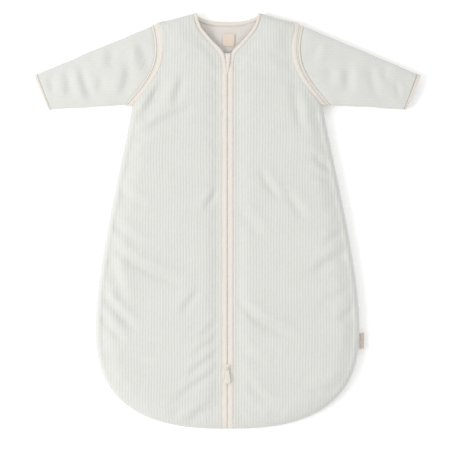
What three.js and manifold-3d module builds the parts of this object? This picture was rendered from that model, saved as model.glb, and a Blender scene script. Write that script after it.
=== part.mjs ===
// A long-sleeved baby sleeping bag, lying flat on its back.
// Millimetres. +X is to the right seen from above, +Y towards the neck, +Z up off the floor.
// The origin is on the floor under the middle of the bag.
import * as THREE from 'three';
import { mergeVertices } from 'three/addons/utils/BufferGeometryUtils.js';
import Module from 'manifold-3d';

const wasm = await Module();
wasm.setup();

// ---------------------------------------------------------------- driving dimensions
// Plan outline of the right half. The left half is its mirror image.
const HALF_LENGTH = 351;              // the shoulder and the hem are this far from the origin
const HALF_WIDTH = 223;               // at the widest, low down the side
const WIDEST_Y = -178;
const HEM_POWER = 2.6;                // the hem is a superellipse of this power
const HEM_CORNER_X = 190;             // where a panel's lower edge gives way to its side edge
const ARMPIT = [160, 196];
const SHOULDER_TIP = [116, 335];
const NECK_POINT = [56.5, HALF_LENGTH];
const SIDE_SEAM_PULL = [[176, 110], [HALF_WIDTH, -80]];   // Bezier handles of the side seam
const BACK_COLUMNS = 20;
const BACK_NECK_COLUMNS = 12;
const NECK_SHARE = [4 / BACK_COLUMNS, 1 - 4 / BACK_COLUMNS];   // the columns between the neck points
const ARMPIT_SHARE = 0.7;             // a panel's grid reaches the armpit at this share of its rows
const NECK_V = [9.2, 262];            // where the front neckline starts, at the zip
const NECK_CURVE = [
  NECK_V, [10, 272], [14, 284], [23.5, 294],
  [36.5, 309], [48, 323.5], [54, 338], NECK_POINT,
];
const NECK_COLUMNS = NECK_CURVE.length - 1;
const BACK_NECK_Y = 337;              // the back neckline's lowest point
const BACK_NECK_POWER = 3;            // it is flat in the middle and steep beside the neck points

// Heights
const BACK_TOP = 8;                   // the back lining's upper face, flat from edge to edge
const FRONT_SEAM_Z = 9;               // the front lining's lower face at a seam
const FRONT_INNER_Z = 19;             // the same face over the middle of the bag
const SEAM_THICKNESS = 3.2;           // a padded panel where it is sewn flat
const FRONT_THICKNESS = 7;
const BACK_THICKNESS = 8;
const OPEN_EDGE_THICKNESS = 4.2;      // a padded panel under a neck or armhole binding
const ZIP_EDGE_THICKNESS = 5.5;
const OUTER_FABRIC = 1.0;
const LINING_FABRIC = 0.8;
const GAP = 0.3;                      // between pieces that touch

// How far in from an edge a panel reaches its full height or thickness
const RISE = 60;
const SWELL = 30;
const OPEN_EDGE_SWELL = 20;

// Front opening
const PANEL_EDGE_X = 9;               // the panels stop here, beside the zip
const FOLD_FOOT = [11, -268];         // the lapel's fold runs from here to the neck point
// The left lapel starts at the stop, so the parked slider goes with it. The right one starts above.
const SIDES = [['left', true, -253.6], ['right', false, -238]];
const BINDING_INNER_X = 2.6;
const BINDING_WIDTH = 6.1;
const BINDING_Z = [20.9, 25.2];
const TAPE_X = [1.3, 8.7];
const TAPE_Z = [20.0, 20.6];
const COIL_X = [0.7, 1.9];
const COIL_Z = [20.9, 22.4];
const ZIP_TOP_Y = 250;
const PIN_TOP_Y = 262;                // the insertion pin and its box stand above the coils
const ZIP_FOOT_Y = -290;              // the tapes run on under the hem binding to here
const STOP_Y = [-258.4, -254];
const GUARD_OUTLINE = [
  [1.4, 252], [1.9, 262], [2.6, 272], [4.2, 279],
  [-3.4, 280], [-2.2, 272], [-1.4, 262], [-0.6, 252],
];
const GUARD_Z = [22.7, 24.9];

// Sleeves: a flattened tube between the armhole and the cuff, measured as a share f of its length
const CUFF_TOP = [327, 247];
const CUFF_FOOT = [302, 188];
const ARMHOLE_BOW = 24;               // how far the armhole curves in from its chord
const BOW_KEPT_TO = 0.075;            // the rings at the armhole keep that curve
const SLEEVE_FOLD = 0.15;             // beyond this share the tube is straight and can fold up
const ARMHOLE_HALF_HEIGHT = 11.5;
const CUFF_HALF_HEIGHT = 9.5;
const SLEEVE_BOTTOM_Z = 0.4;
const OVAL_POWER = 0.6;               // flattens the tube's upper and lower faces
const SLEEVE_OUTER = 2.2;
const SLEEVE_LINING = 1.0;
const SLEEVE_SKIN = 0.3;              // how far inside the tube's outline its velvet lies
const ARMHOLE_BINDING_RING = { span: [0.006, 0.036], depth: [0, 3.8] };
const ARMHOLE_ZIP_RING = { span: [0.039, 0.049], depth: [1.4, 2.8] };
const SLEEVE_ZIP_RING = { span: [0.052, 0.066], depth: [0.9, 2.8] };
const SLEEVE_HEAD_SPAN = [0.069, SLEEVE_FOLD - 0.001];
const SLEEVE_SPAN = [SLEEVE_FOLD + 0.001, 0.974];
const CUFF_RING = { span: [0.976, 1], depth: [0, 4.2] };

// Zip slider and pull, parked at the foot of the zip
const SLIDER_Y = -247;                // the middle of the slider
const SLIDER_LENGTH = 12;
const SLIDER_HALF_WIDTH = 4.4;
const SLIDER_TOP_Z = [25.6, 27.0];
const SLIDER_FOOT_Z = [18.6, 19.7];
const POST_X = [-0.5, 0.1];
const CROWN = { halfWidth: 1.0, length: 4.6, height: 3.2, leg: 1.1, roof: 0.9 };
const PULL = { length: 26, halfWidth: 5.2, neck: 2.5, eyeHalfWidth: 1.5, eyeEnd: 3.7, halfThickness: 0.6 };
const PULL_AXIS_Z = 28.2;

// Seams and labels
const SEAM_Z = [8.3, 8.7];
const SEAM_INSET = [1, 7];
const NECK_LABEL = { x: [-8, 12], y: [295, 317] };
const SIDE_LABEL = { x: [223.3, 231], y: [-217, -190] };

// ---------------------------------------------------------------- materials
const paint = (color, roughness, metalness = 0) =>
  new THREE.MeshStandardMaterial({ color, roughness, metalness });
const RIB_VELVET = paint(0xeceae2, 0.95);
const JERSEY = paint(0xe6ded2, 0.9);
const WADDING = paint(0xf6f5f0, 1.0);
const BINDING = paint(0xf0e4d4, 0.85);
const ZIP_TAPE = paint(0xe4d6c4, 0.9);
const ZIP_COIL = paint(0xd8c7b2, 0.5);
const ZIP_METAL = paint(0xe2dacb, 0.4, 0.3);
const LABEL = paint(0xc9b3a4, 0.85);

// ---------------------------------------------------------------- curves
const lerp = (a, b, t) => a + (b - a) * t;
const mix = (p, q, t) => [lerp(p[0], q[0], t), lerp(p[1], q[1], t)];
const smooth = (t) => {
  const c = Math.min(1, Math.max(0, t));
  return c * c * (3 - 2 * c);
};

const hemDepth = HALF_LENGTH + WIDEST_Y;
const hemY = (x) => WIDEST_Y - hemDepth * (1 - (x / HALF_WIDTH) ** HEM_POWER) ** (1 / HEM_POWER);
const hemX = (y) => HALF_WIDTH * (1 - ((WIDEST_Y - y) / hemDepth) ** HEM_POWER) ** (1 / HEM_POWER);
const HEM_CORNER = [HEM_CORNER_X, hemY(HEM_CORNER_X)];

const sideSeam = new THREE.CubicBezierCurve(
  new THREE.Vector2(...ARMPIT),
  new THREE.Vector2(...SIDE_SEAM_PULL[0]),
  new THREE.Vector2(...SIDE_SEAM_PULL[1]),
  new THREE.Vector2(HALF_WIDTH, WIDEST_Y),
).getPoints(40).map((p) => [p.x, p.y]);

// The x at height y on a line whose y falls from point to point.
function xOnLine(points, y) {
  for (let i = 1; i < points.length; i++) {
    const [a, b] = [points[i - 1], points[i]];
    if (y >= b[1] - 1e-9) return lerp(a[0], b[0], (y - a[1]) / (b[1] - a[1]));
  }
  return points.at(-1)[0];
}

const armholeX = (y) => {
  const s = (SHOULDER_TIP[1] - y) / (SHOULDER_TIP[1] - ARMPIT[1]);
  return lerp(SHOULDER_TIP[0], ARMPIT[0], s) - ARMHOLE_BOW * Math.sin(Math.PI * s);
};

function outerX(y) {
  if (y < WIDEST_Y) return hemX(y);
  if (y < ARMPIT[1]) return xOnLine(sideSeam, y);
  return armholeX(y);
}

const foldX = (y) => lerp(FOLD_FOOT[0], NECK_POINT[0], (y - FOLD_FOOT[1]) / (NECK_POINT[1] - FOLD_FOOT[1]));

// A point at share t along a list of points, by length.
function along(points, t) {
  const steps = points.slice(1).map((p, i) => Math.hypot(p[0] - points[i][0], p[1] - points[i][1]));
  let left = t * steps.reduce((a, b) => a + b, 0);
  for (let i = 0; i < steps.length; i++) {
    if (left <= steps[i] + 1e-9) return mix(points[i], points[i + 1], Math.min(1, left / steps[i]));
    left -= steps[i];
  }
  return points.at(-1);
}

// ---------------------------------------------------------------- distances to the edges
const sampled = (fn, n) => Array.from({ length: n + 1 }, (_, i) => fn(i / n));
const hemLine = sampled((t) => {
  const angle = t * Math.PI / 2;
  const x = HALF_WIDTH * Math.cos(angle) ** (2 / HEM_POWER);
  return [x, WIDEST_Y - hemDepth * Math.sin(angle) ** (2 / HEM_POWER)];
}, 30);
const seamLines = [[NECK_POINT, SHOULDER_TIP], sideSeam, hemLine];
const armholeLine = sampled((t) => {
  const y = lerp(SHOULDER_TIP[1], ARMPIT[1], t);
  return [armholeX(y), y];
}, 16);
const openLines = [armholeLine, NECK_CURVE];

function distanceTo(lines, x, y) {
  let best = Infinity;
  for (const line of lines) {
    for (let i = 1; i < line.length; i++) {
      const [ax, ay] = line[i - 1];
      const [bx, by] = line[i];
      const length2 = (bx - ax) ** 2 + (by - ay) ** 2;
      const t = Math.min(1, Math.max(0, ((x - ax) * (bx - ax) + (y - ay) * (by - ay)) / length2));
      best = Math.min(best, Math.hypot(x - lerp(ax, bx, t), y - lerp(ay, by, t)));
    }
  }
  return best;
}

// Lower and upper face of the padded front and back, as functions of the plan position.
function front(x, y) {
  const seam = distanceTo(seamLines, x, y);
  const open = distanceTo(openLines, x, y);
  const low = lerp(FRONT_SEAM_Z, FRONT_INNER_Z, smooth(seam / RISE));
  const thickness = Math.min(
    lerp(SEAM_THICKNESS, FRONT_THICKNESS, smooth(seam / SWELL)),
    lerp(OPEN_EDGE_THICKNESS, FRONT_THICKNESS, smooth(open / OPEN_EDGE_SWELL)),
    lerp(ZIP_EDGE_THICKNESS, FRONT_THICKNESS, smooth((x - PANEL_EDGE_X) / OPEN_EDGE_SWELL)),
  );
  return [low, low + thickness];
}

function back(x, y) {
  const seam = distanceTo(seamLines, Math.abs(x), y);
  return [BACK_TOP - lerp(SEAM_THICKNESS, BACK_THICKNESS, smooth(seam / SWELL)), BACK_TOP];
}

// ---------------------------------------------------------------- solids
function geometry(vertices, triangles, mirrored = false) {
  const flat = vertices.flatMap(([x, y, z]) => [mirrored ? -x : x, y, z]);
  const turned = mirrored ? triangles.map(([a, b, c]) => [a, c, b]) : triangles;
  const made = new THREE.BufferGeometry();
  made.setAttribute('position', new THREE.Float32BufferAttribute(flat, 3));
  made.setIndex(turned.flat());
  made.computeVertexNormals();
  return made;
}

// A closed slab over a grid of columns by rows. faces(u, v) gives its lower and upper point.
function slab(columns, rows, faces, mirrored) {
  const vertices = [];
  const triangles = [];
  const at = (i, j, top) => 2 * (j * (columns + 1) + i) + (top ? 1 : 0);
  for (let j = 0; j <= rows; j++) {
    for (let i = 0; i <= columns; i++) vertices.push(...faces(i / columns, j / rows));
  }
  const quad = (a, b, c, d) => triangles.push([a, b, c], [a, c, d]);
  for (let j = 0; j < rows; j++) {
    for (let i = 0; i < columns; i++) {
      quad(at(i, j, true), at(i + 1, j, true), at(i + 1, j + 1, true), at(i, j + 1, true));
      const [a, b, c, d] = [at(i, j), at(i + 1, j), at(i + 1, j + 1), at(i, j + 1)];
      triangles.push([a, c, b], [a, d, c]);
    }
  }
  for (let i = 0; i < columns; i++) {
    quad(at(i, 0), at(i + 1, 0), at(i + 1, 0, true), at(i, 0, true));
    quad(at(i + 1, rows), at(i, rows), at(i, rows, true), at(i + 1, rows, true));
  }
  for (let j = 0; j < rows; j++) {
    quad(at(0, j + 1), at(0, j), at(0, j, true), at(0, j + 1, true));
    quad(at(columns, j), at(columns, j + 1), at(columns, j + 1, true), at(columns, j, true));
  }
  return geometry(vertices, triangles, mirrored);
}

// A closed pipe wall: around the tube and along it, between an outer and an inner face.
function pipe(around, rows, outer, inner, mirrored) {
  const vertices = [];
  const triangles = [];
  const at = (i, j, out) => 2 * (j * around + (i % around)) + (out ? 1 : 0);
  for (let j = 0; j <= rows; j++) {
    for (let i = 0; i < around; i++) {
      vertices.push(inner(i / around, j / rows), outer(i / around, j / rows));
    }
  }
  const quad = (a, b, c, d) => triangles.push([a, b, c], [a, c, d]);
  for (let i = 0; i < around; i++) {
    for (let j = 0; j < rows; j++) {
      quad(at(i, j, true), at(i + 1, j, true), at(i + 1, j + 1, true), at(i, j + 1, true));
      quad(at(i, j), at(i, j + 1), at(i + 1, j + 1), at(i + 1, j));
    }
    quad(at(i, 0), at(i + 1, 0), at(i + 1, 0, true), at(i, 0, true));
    quad(at(i, rows), at(i, rows, true), at(i + 1, rows, true), at(i + 1, rows));
  }
  return geometry(vertices, triangles, mirrored);
}

// A patch between four edges, each a function from 0 to 1.
function patch(left, right, bottom, top) {
  const [p00, p10, p01, p11] = [bottom(0), bottom(1), top(0), top(1)];
  return (u, v) => [0, 1].map((k) =>
    (1 - v) * bottom(u)[k] + v * top(u)[k] + (1 - u) * left(v)[k] + u * right(v)[k]
    - (1 - u) * (1 - v) * p00[k] - u * (1 - v) * p10[k] - (1 - u) * v * p01[k] - u * v * p11[k]);
}

const block = (x0, x1, y0, y1, z0, z1) =>
  new THREE.BoxGeometry(x1 - x0, y1 - y0, z1 - z0).translate((x0 + x1) / 2, (y0 + y1) / 2, (z0 + z1) / 2);

function solid(made) {
  const bare = made.index ? made.toNonIndexed() : made.clone();
  bare.deleteAttribute('normal');
  bare.deleteAttribute('uv');
  const merged = mergeVertices(bare, 1e-4);
  return new wasm.Manifold(new wasm.Mesh({
    numProp: 3,
    vertProperties: new Float32Array(merged.attributes.position.array),
    triVerts: new Uint32Array(merged.index.array),
  }));
}

function fromSolid(made) {
  const mesh = made.getMesh();
  const result = new THREE.BufferGeometry();
  result.setAttribute('position', new THREE.BufferAttribute(mesh.vertProperties, 3));
  result.setIndex(new THREE.BufferAttribute(mesh.triVerts, 1));
  result.computeVertexNormals();
  return result;
}

// ---------------------------------------------------------------- the bag
const bag = new THREE.Group();

function add(name, made, material) {
  const mesh = new THREE.Mesh(made, material);
  mesh.name = name;
  bag.add(mesh);
}

// A padded panel is three pieces: fabric outside, wadding, lining inside.
function paddedPanel(name, columns, rows, plan, faces, outerOnTop, mirrored) {
  const [lowName, lowFabric, highName, highFabric] = outerOnTop
    ? ['lining', LINING_FABRIC, 'outer', OUTER_FABRIC]
    : ['outer', OUTER_FABRIC, 'lining', LINING_FABRIC];
  const layer = (bottom, top) => slab(columns, rows, (u, v) => {
    const [x, y] = plan(u, v);
    const [low, high] = faces(x, y);
    return [[x, y, bottom(low, high)], [x, y, top(low, high)]];
  }, mirrored);
  const fabric = { outer: RIB_VELVET, lining: JERSEY };
  add(`${name}_${lowName}`, layer((low) => low, (low) => low + lowFabric), fabric[lowName]);
  add(
    `${name}_wadding`,
    layer((low) => low + lowFabric + GAP, (low, high) => high - highFabric - GAP),
    WADDING,
  );
  add(`${name}_${highName}`, layer((low, high) => high - highFabric, (low, high) => high), fabric[highName]);
}

// Back: one cut from side seam to side seam.
const backNeckEdge = (x) => BACK_NECK_Y - BINDING_WIDTH - GAP
  + (HALF_LENGTH - BACK_NECK_Y) * (Math.abs(x) / NECK_POINT[0]) ** BACK_NECK_POWER;
const backTop = (u) => {
  const [from, to] = NECK_SHARE;
  if (u < from) return mix([-SHOULDER_TIP[0], SHOULDER_TIP[1]], [-NECK_POINT[0], NECK_POINT[1]], u / from);
  if (u > to) return mix(NECK_POINT, SHOULDER_TIP, (u - to) / (1 - to));
  const x = lerp(-NECK_POINT[0], NECK_POINT[0], (u - from) / (to - from));
  return [x, backNeckEdge(x)];
};
const sideEdge = (side) => (v) => {
  const y = v < ARMPIT_SHARE
    ? lerp(HEM_CORNER[1], ARMPIT[1], v / ARMPIT_SHARE)
    : lerp(ARMPIT[1], SHOULDER_TIP[1], (v - ARMPIT_SHARE) / (1 - ARMPIT_SHARE));
  return [side * outerX(y), y];
};
const backBottom = (u) => {
  const x = lerp(-HEM_CORNER_X, HEM_CORNER_X, u);
  return [x, hemY(Math.abs(x))];
};
const backPlan = patch(sideEdge(-1), sideEdge(1), backBottom, backTop);
paddedPanel('back', BACK_COLUMNS, 20, backPlan, back, false, false);

// Front: each half folds back along a straight line from the foot of the zip to the neck point.
const sideInner = (v) => {
  const y = lerp(hemY(FOLD_FOOT[0]), NECK_POINT[1], v);
  return [Math.max(FOLD_FOOT[0], foldX(y)) + GAP / 2, y];
};
const frontSide = patch(
  sideInner,
  sideEdge(1),
  (u) => {
    const x = lerp(FOLD_FOOT[0] + GAP / 2, HEM_CORNER_X, u);
    return [x, hemY(x)];
  },
  (u) => mix([NECK_POINT[0] + GAP / 2, NECK_POINT[1]], SHOULDER_TIP, u),
);
const lapelPlan = (footY) => patch(
  (v) => [PANEL_EDGE_X, lerp(footY, NECK_V[1], v)],
  (v) => {
    const y = lerp(footY, NECK_POINT[1] - 1, v);
    return [foldX(y) - GAP / 2, y];
  },
  (u) => [lerp(PANEL_EDGE_X, foldX(footY) - GAP / 2, u), footY],
  (u) => {
    const [x, y] = NECK_CURVE[Math.round(u * NECK_COLUMNS)];
    return [x - lerp(NECK_V[0] - PANEL_EDGE_X, GAP, u), y - u];
  },
);

// The binding runs up beside the zip and on round the neckline, just inside the lapel's edge.
function bindingLine(footY, offset) {
  const line = [[PANEL_EDGE_X, footY], [PANEL_EDGE_X, ZIP_TOP_Y], ...NECK_CURVE];
  return line.map((p, i) => {
    const [a, b] = [line[Math.max(0, i - 1)], line[Math.min(line.length - 1, i + 1)]];
    const length = Math.hypot(b[0] - a[0], b[1] - a[1]);
    return [p[0] - offset * (b[1] - a[1]) / length, p[1] + offset * (b[0] - a[0]) / length];
  });
}
function edgeBinding(footY, mirrored) {
  const near = bindingLine(footY, GAP);
  const far = bindingLine(footY, GAP + BINDING_WIDTH);
  const rows = near.length - 1;
  return slab(2, rows, (u, v) => {
    const j = Math.round(v * rows);
    const [x, rawY] = mix(far[j], near[j], u);
    const y = Math.min(rawY, HALF_LENGTH);
    const alongNeck = smooth((j - 1) / 3);
    const [low, high] = front(Math.max(x, PANEL_EDGE_X), y);
    return [
      [x, y, lerp(BINDING_Z[0], low, alongNeck)],
      [x, y, lerp(BINDING_Z[1], high, alongNeck)],
    ];
  }, mirrored);
}

// An outline in the plan, pushed up from z0 to z1.
function plate(points, z0, z1) {
  const shape = new THREE.Shape(points.map((p) => new THREE.Vector2(...p)));
  return new THREE.ExtrudeGeometry(shape, { depth: z1 - z0, bevelEnabled: false }).translate(0, 0, z0);
}

// ---------------------------------------------------------------- sleeves
const SLEEVE_AROUND = 24;
// A point of the sleeve's wall: share t of the way round, share f along it, depth w inside its face.
function sleevePoint(t, f, w) {
  const top = mix(SHOULDER_TIP, CUFF_TOP, f);
  const foot = mix(ARMPIT, CUFF_FOOT, f);
  const half = Math.hypot(foot[0] - top[0], foot[1] - top[1]) / 2;
  const across = [(foot[0] - top[0]) / (2 * half), (foot[1] - top[1]) / (2 * half)];
  const angle = 2 * Math.PI * t;
  const reach = -(half - w) * Math.cos(angle);
  const share = (1 + reach / half) / 2;
  const fade = 1 - Math.max(0, Math.min(1, (f - BOW_KEPT_TO) / (SLEEVE_FOLD - BOW_KEPT_TO)));
  const bow = ARMHOLE_BOW * Math.sin(Math.PI * share) * fade;
  const height = lerp(ARMHOLE_HALF_HEIGHT, CUFF_HALF_HEIGHT, f);
  const rise = Math.sign(Math.sin(angle)) * Math.abs(Math.sin(angle)) ** OVAL_POWER;
  return [
    (top[0] + foot[0]) / 2 + reach * across[0] - bow,
    (top[1] + foot[1]) / 2 + reach * across[1],
    SLEEVE_BOTTOM_Z + height + (height - w) * rise,
  ];
}
const sleeveRing = (rows, [f0, f1], [w0, w1], mirrored) => pipe(
  SLEEVE_AROUND,
  rows,
  (t, v) => sleevePoint(t, lerp(f0, f1, v), w0),
  (t, v) => sleevePoint(t, lerp(f0, f1, v), w1),
  mirrored,
);

for (const [side, mirrored, footY] of SIDES) {
  const sign = mirrored ? -1 : 1;
  const strip = ([x0, x1], [y0, y1], [z0, z1]) =>
    block(Math.min(sign * x0, sign * x1), Math.max(sign * x0, sign * x1), y0, y1, z0, z1);

  paddedPanel(`front_${side}`, 6, 20, frontSide, front, true, mirrored);
  paddedPanel(`lapel_${side}`, NECK_COLUMNS, 9, lapelPlan(footY), front, true, mirrored);

  // Zip and the bindings beside it. Below the lapel's foot the zip belongs to the fixed front.
  add(`front_binding_${side}`, edgeBinding(footY, mirrored), BINDING);
  add(`zip_tape_${side}`, strip(TAPE_X, [footY, ZIP_TOP_Y], TAPE_Z), ZIP_TAPE);
  add(`zip_coil_${side}`, strip(COIL_X, [footY, ZIP_TOP_Y], COIL_Z), ZIP_COIL);
  add(`zip_tape_end_${side}`, strip(TAPE_X, [ZIP_FOOT_Y, footY - GAP], TAPE_Z), ZIP_TAPE);
  add(`hem_binding_${side}`, slab(1, 6, (u, v) => {
    const y = lerp(hemY(BINDING_INNER_X) + 1, footY - GAP, v);
    const x = lerp(BINDING_INNER_X, Math.max(FOLD_FOOT[0], foldX(y)) - 2 * GAP, u);
    const height = smooth((y - hemY(x)) / RISE);
    return [
      [x, y, lerp(FRONT_SEAM_Z + GAP, BINDING_Z[0], height)],
      [x, y, lerp(FRONT_SEAM_Z + SEAM_THICKNESS, BINDING_Z[1], height)],
    ];
  }, mirrored), BINDING);

  // Armhole binding, then the two halves of the zip that holds the sleeve.
  const ring = (name, rows, span, depth, material) =>
    add(`${name}_${side}`, sleeveRing(rows, span, depth, mirrored), material);
  ring('armhole_binding', 2, ARMHOLE_BINDING_RING.span, ARMHOLE_BINDING_RING.depth, BINDING);
  ring('armhole_zip', 1, ARMHOLE_ZIP_RING.span, ARMHOLE_ZIP_RING.depth, ZIP_COIL);
  ring('sleeve_zip', 1, SLEEVE_ZIP_RING.span, SLEEVE_ZIP_RING.depth, ZIP_TAPE);

  // The sleeve's head stays at the armhole, and the rest folds up along a straight line.
  const outerDepth = [SLEEVE_SKIN, SLEEVE_SKIN + SLEEVE_OUTER];
  const liningDepth = [outerDepth[1] + GAP, outerDepth[1] + GAP + SLEEVE_LINING];
  ring('sleeve_head', 2, SLEEVE_HEAD_SPAN, outerDepth, RIB_VELVET);
  ring('sleeve_head_lining', 2, SLEEVE_HEAD_SPAN, liningDepth, JERSEY);
  ring('sleeve', 4, SLEEVE_SPAN, outerDepth, RIB_VELVET);
  ring('sleeve_lining', 4, SLEEVE_SPAN, liningDepth, JERSEY);
  ring('cuff_binding', 1, CUFF_RING.span, CUFF_RING.depth, BINDING);
}

add('zip_bottom_stop', block(-COIL_X[1], COIL_X[1], ...STOP_Y, ...COIL_Z), ZIP_METAL);
const pinY = [ZIP_TOP_Y + GAP, PIN_TOP_Y];
add('zip_insertion_pin', block(-COIL_X[1], -COIL_X[0], ...pinY, ...COIL_Z), ZIP_METAL);
add('zip_retainer_box', block(...COIL_X, ...pinY, ...COIL_Z), ZIP_METAL);
add('zip_guard', plate(GUARD_OUTLINE, ...GUARD_Z), BINDING);

// ---------------------------------------------------------------- slider and pull
// Two plates joined by a post between the coils, with an arch on top for the pull. The lower plate
// holds the left tape only, so the slider lifts clear when the left lapel folds open.
function slider() {
  const half = SLIDER_LENGTH / 2;
  const outline = (right) => [
    [-SLIDER_HALF_WIDTH * 0.7, SLIDER_Y - half], [right * 0.7, SLIDER_Y - half],
    [right, SLIDER_Y + 1], [right * 0.9, SLIDER_Y + half - 1], [right * 0.6, SLIDER_Y + half],
    [-SLIDER_HALF_WIDTH * 0.6, SLIDER_Y + half], [-SLIDER_HALF_WIDTH * 0.9, SLIDER_Y + half - 1],
    [-SLIDER_HALF_WIDTH, SLIDER_Y + 1],
  ];
  const top = solid(plate(outline(SLIDER_HALF_WIDTH), ...SLIDER_TOP_Z));
  const foot = solid(plate(outline(POST_X[1]), ...SLIDER_FOOT_Z));
  const post = solid(block(
    ...POST_X, SLIDER_Y, SLIDER_Y + half - 1, SLIDER_FOOT_Z[0] + 0.5, SLIDER_TOP_Z[1] - 0.5,
  ));
  const crownTop = SLIDER_TOP_Z[1] + CROWN.height;
  const leg = (sign) => {
    const ends = [SLIDER_Y + sign * CROWN.length / 2, SLIDER_Y + sign * (CROWN.length / 2 - CROWN.leg)];
    return solid(block(
      -CROWN.halfWidth, CROWN.halfWidth, Math.min(...ends), Math.max(...ends),
      SLIDER_TOP_Z[1] - 0.5, crownTop,
    ));
  };
  const roof = solid(block(
    -CROWN.halfWidth, CROWN.halfWidth,
    SLIDER_Y - CROWN.length / 2, SLIDER_Y + CROWN.length / 2, crownTop - CROWN.roof, crownTop,
  ));
  return fromSolid(wasm.Manifold.union([top, foot, post, leg(-1), leg(1), roof]));
}

// A flat tab that widens downwards, hanging from a bar through the slider's arch.
// Its eye clears the arch as it swings.
function pull() {
  const { length, halfWidth, neck, eyeHalfWidth, eyeEnd, halfThickness: h } = PULL;
  const corner = 2.5;
  const foot = SLIDER_Y - length;
  const shoulder = SLIDER_Y - eyeEnd - 1;
  const outline = [
    [-neck, SLIDER_Y + h], [-neck, shoulder], [-halfWidth, foot + 2 * corner],
    [-halfWidth, foot + corner], [-halfWidth + corner, foot],
    [halfWidth - corner, foot], [halfWidth, foot + corner],
    [halfWidth, foot + 2 * corner], [neck, shoulder], [neck, SLIDER_Y + h],
  ];
  const tab = solid(plate(outline, PULL_AXIS_Z - h, PULL_AXIS_Z + h));
  const eye = solid(block(
    -eyeHalfWidth, eyeHalfWidth, SLIDER_Y - eyeEnd, SLIDER_Y - h, PULL_AXIS_Z - 2, PULL_AXIS_Z + 2,
  ));
  return fromSolid(tab.subtract(eye));
}
add('zip_slider', slider(), ZIP_METAL);
add('zip_pull', pull(), ZIP_METAL);

// ---------------------------------------------------------------- seams, back neck and labels
add('back_neck_binding', slab(BACK_NECK_COLUMNS, 1, (u, v) => {
  const x = lerp(-NECK_POINT[0], NECK_POINT[0], u);
  const y = backNeckEdge(x) + lerp(GAP, GAP + BINDING_WIDTH, v);
  const [low, high] = back(x, y);
  return [[x, y, low], [x, y, high]];
}), BINDING);

const rightSeam = [
  ...sampled((t) => along(sideSeam, t), 12),
  ...sampled((t) => along(hemLine, t), 16).slice(1),
];
const seamPath = [...rightSeam, ...rightSeam.slice(0, -1).reverse().map(([x, y]) => [-x, y])];
add('side_and_hem_seam', slab(1, seamPath.length - 1, (u, v) => {
  const j = Math.round(v * (seamPath.length - 1));
  const [a, b] = [seamPath[Math.max(0, j - 1)], seamPath[Math.min(seamPath.length - 1, j + 1)]];
  const length = Math.hypot(b[0] - a[0], b[1] - a[1]);
  const inset = lerp(...SEAM_INSET, u);
  const x = seamPath[j][0] + inset * (b[1] - a[1]) / length;
  const y = seamPath[j][1] - inset * (b[0] - a[0]) / length;
  return SEAM_Z.map((z) => [x, y, z]);
}), BINDING);
for (const [side, mirrored] of SIDES) {
  const sign = mirrored ? -1 : 1;
  const edge = (t, drop) => {
    const [x, y] = mix(NECK_POINT, SHOULDER_TIP, t);
    return [sign * x, y - drop];
  };
  const corners = [edge(0.05, 1), edge(0.95, 1), edge(0.95, 6), edge(0.05, 6)];
  add(`shoulder_seam_${side}`, plate(corners, ...SEAM_Z), BINDING);
}
add('neck_label', block(...NECK_LABEL.x, ...NECK_LABEL.y, BACK_TOP + GAP, BACK_TOP + GAP + 0.6), LABEL);
add('side_label', block(...SIDE_LABEL.x, ...SIDE_LABEL.y, ...SEAM_Z), LABEL);

export default bag;
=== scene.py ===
"""A long-sleeved baby sleeping bag laid flat on its back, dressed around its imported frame.

Lengths are in millimetres until they reach Blender, where MM turns them into metres.
+X is to the right seen from above, +Y towards the neck, +Z up off the floor.
"""
import math

import bpy
import numpy as np
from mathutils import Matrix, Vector
from mathutils.bvhtree import BVHTree


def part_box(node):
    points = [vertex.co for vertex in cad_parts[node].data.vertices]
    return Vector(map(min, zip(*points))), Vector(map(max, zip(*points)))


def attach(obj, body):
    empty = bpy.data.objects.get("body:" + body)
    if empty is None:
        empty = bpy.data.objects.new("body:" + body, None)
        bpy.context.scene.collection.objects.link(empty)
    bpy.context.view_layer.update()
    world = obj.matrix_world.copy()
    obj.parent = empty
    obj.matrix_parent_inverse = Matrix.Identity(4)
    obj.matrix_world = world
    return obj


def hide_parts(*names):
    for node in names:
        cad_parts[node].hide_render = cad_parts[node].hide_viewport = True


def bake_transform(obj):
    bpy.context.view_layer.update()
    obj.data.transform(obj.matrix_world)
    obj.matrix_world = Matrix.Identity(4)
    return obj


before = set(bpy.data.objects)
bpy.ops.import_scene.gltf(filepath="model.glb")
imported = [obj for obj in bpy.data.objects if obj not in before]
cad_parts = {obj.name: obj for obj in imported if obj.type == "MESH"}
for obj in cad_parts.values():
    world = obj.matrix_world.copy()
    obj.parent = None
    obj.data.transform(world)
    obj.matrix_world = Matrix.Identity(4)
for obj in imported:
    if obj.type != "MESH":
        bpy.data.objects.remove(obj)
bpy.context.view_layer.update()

MM = 0.001
SIDES = {"left": -1, "right": 1}

# ---------------------------------------------------------------- the bag's outline
HALF_LENGTH = 351
HALF_WIDTH = 223
WIDEST_Y = -178
HEM_POWER = 2.6
ARMPIT = (160, 196)
SHOULDER_TIP = (116, 335)
NECK_POINT = (56.5, HALF_LENGTH)
SIDE_SEAM_PULL = ((176, 110), (HALF_WIDTH, -80))
NECK_CURVE = ((9.2, 262), (10, 272), (14, 284), (23.5, 294), (36.5, 309), (48, 323.5), (54, 338), NECK_POINT)
BACK_NECK_Y = 337
BACK_NECK_POWER = 3
NECK_BULGE = 5
ARMHOLE_BOW = 24
PANEL_EDGE_X = 9
PANEL_SIDE_X = HALF_WIDTH - 0.02
LEAN_FROM_X = 84
ZIP_TOP_Y = 250
BINDING_Z = (22.7, 25.2)

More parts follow.
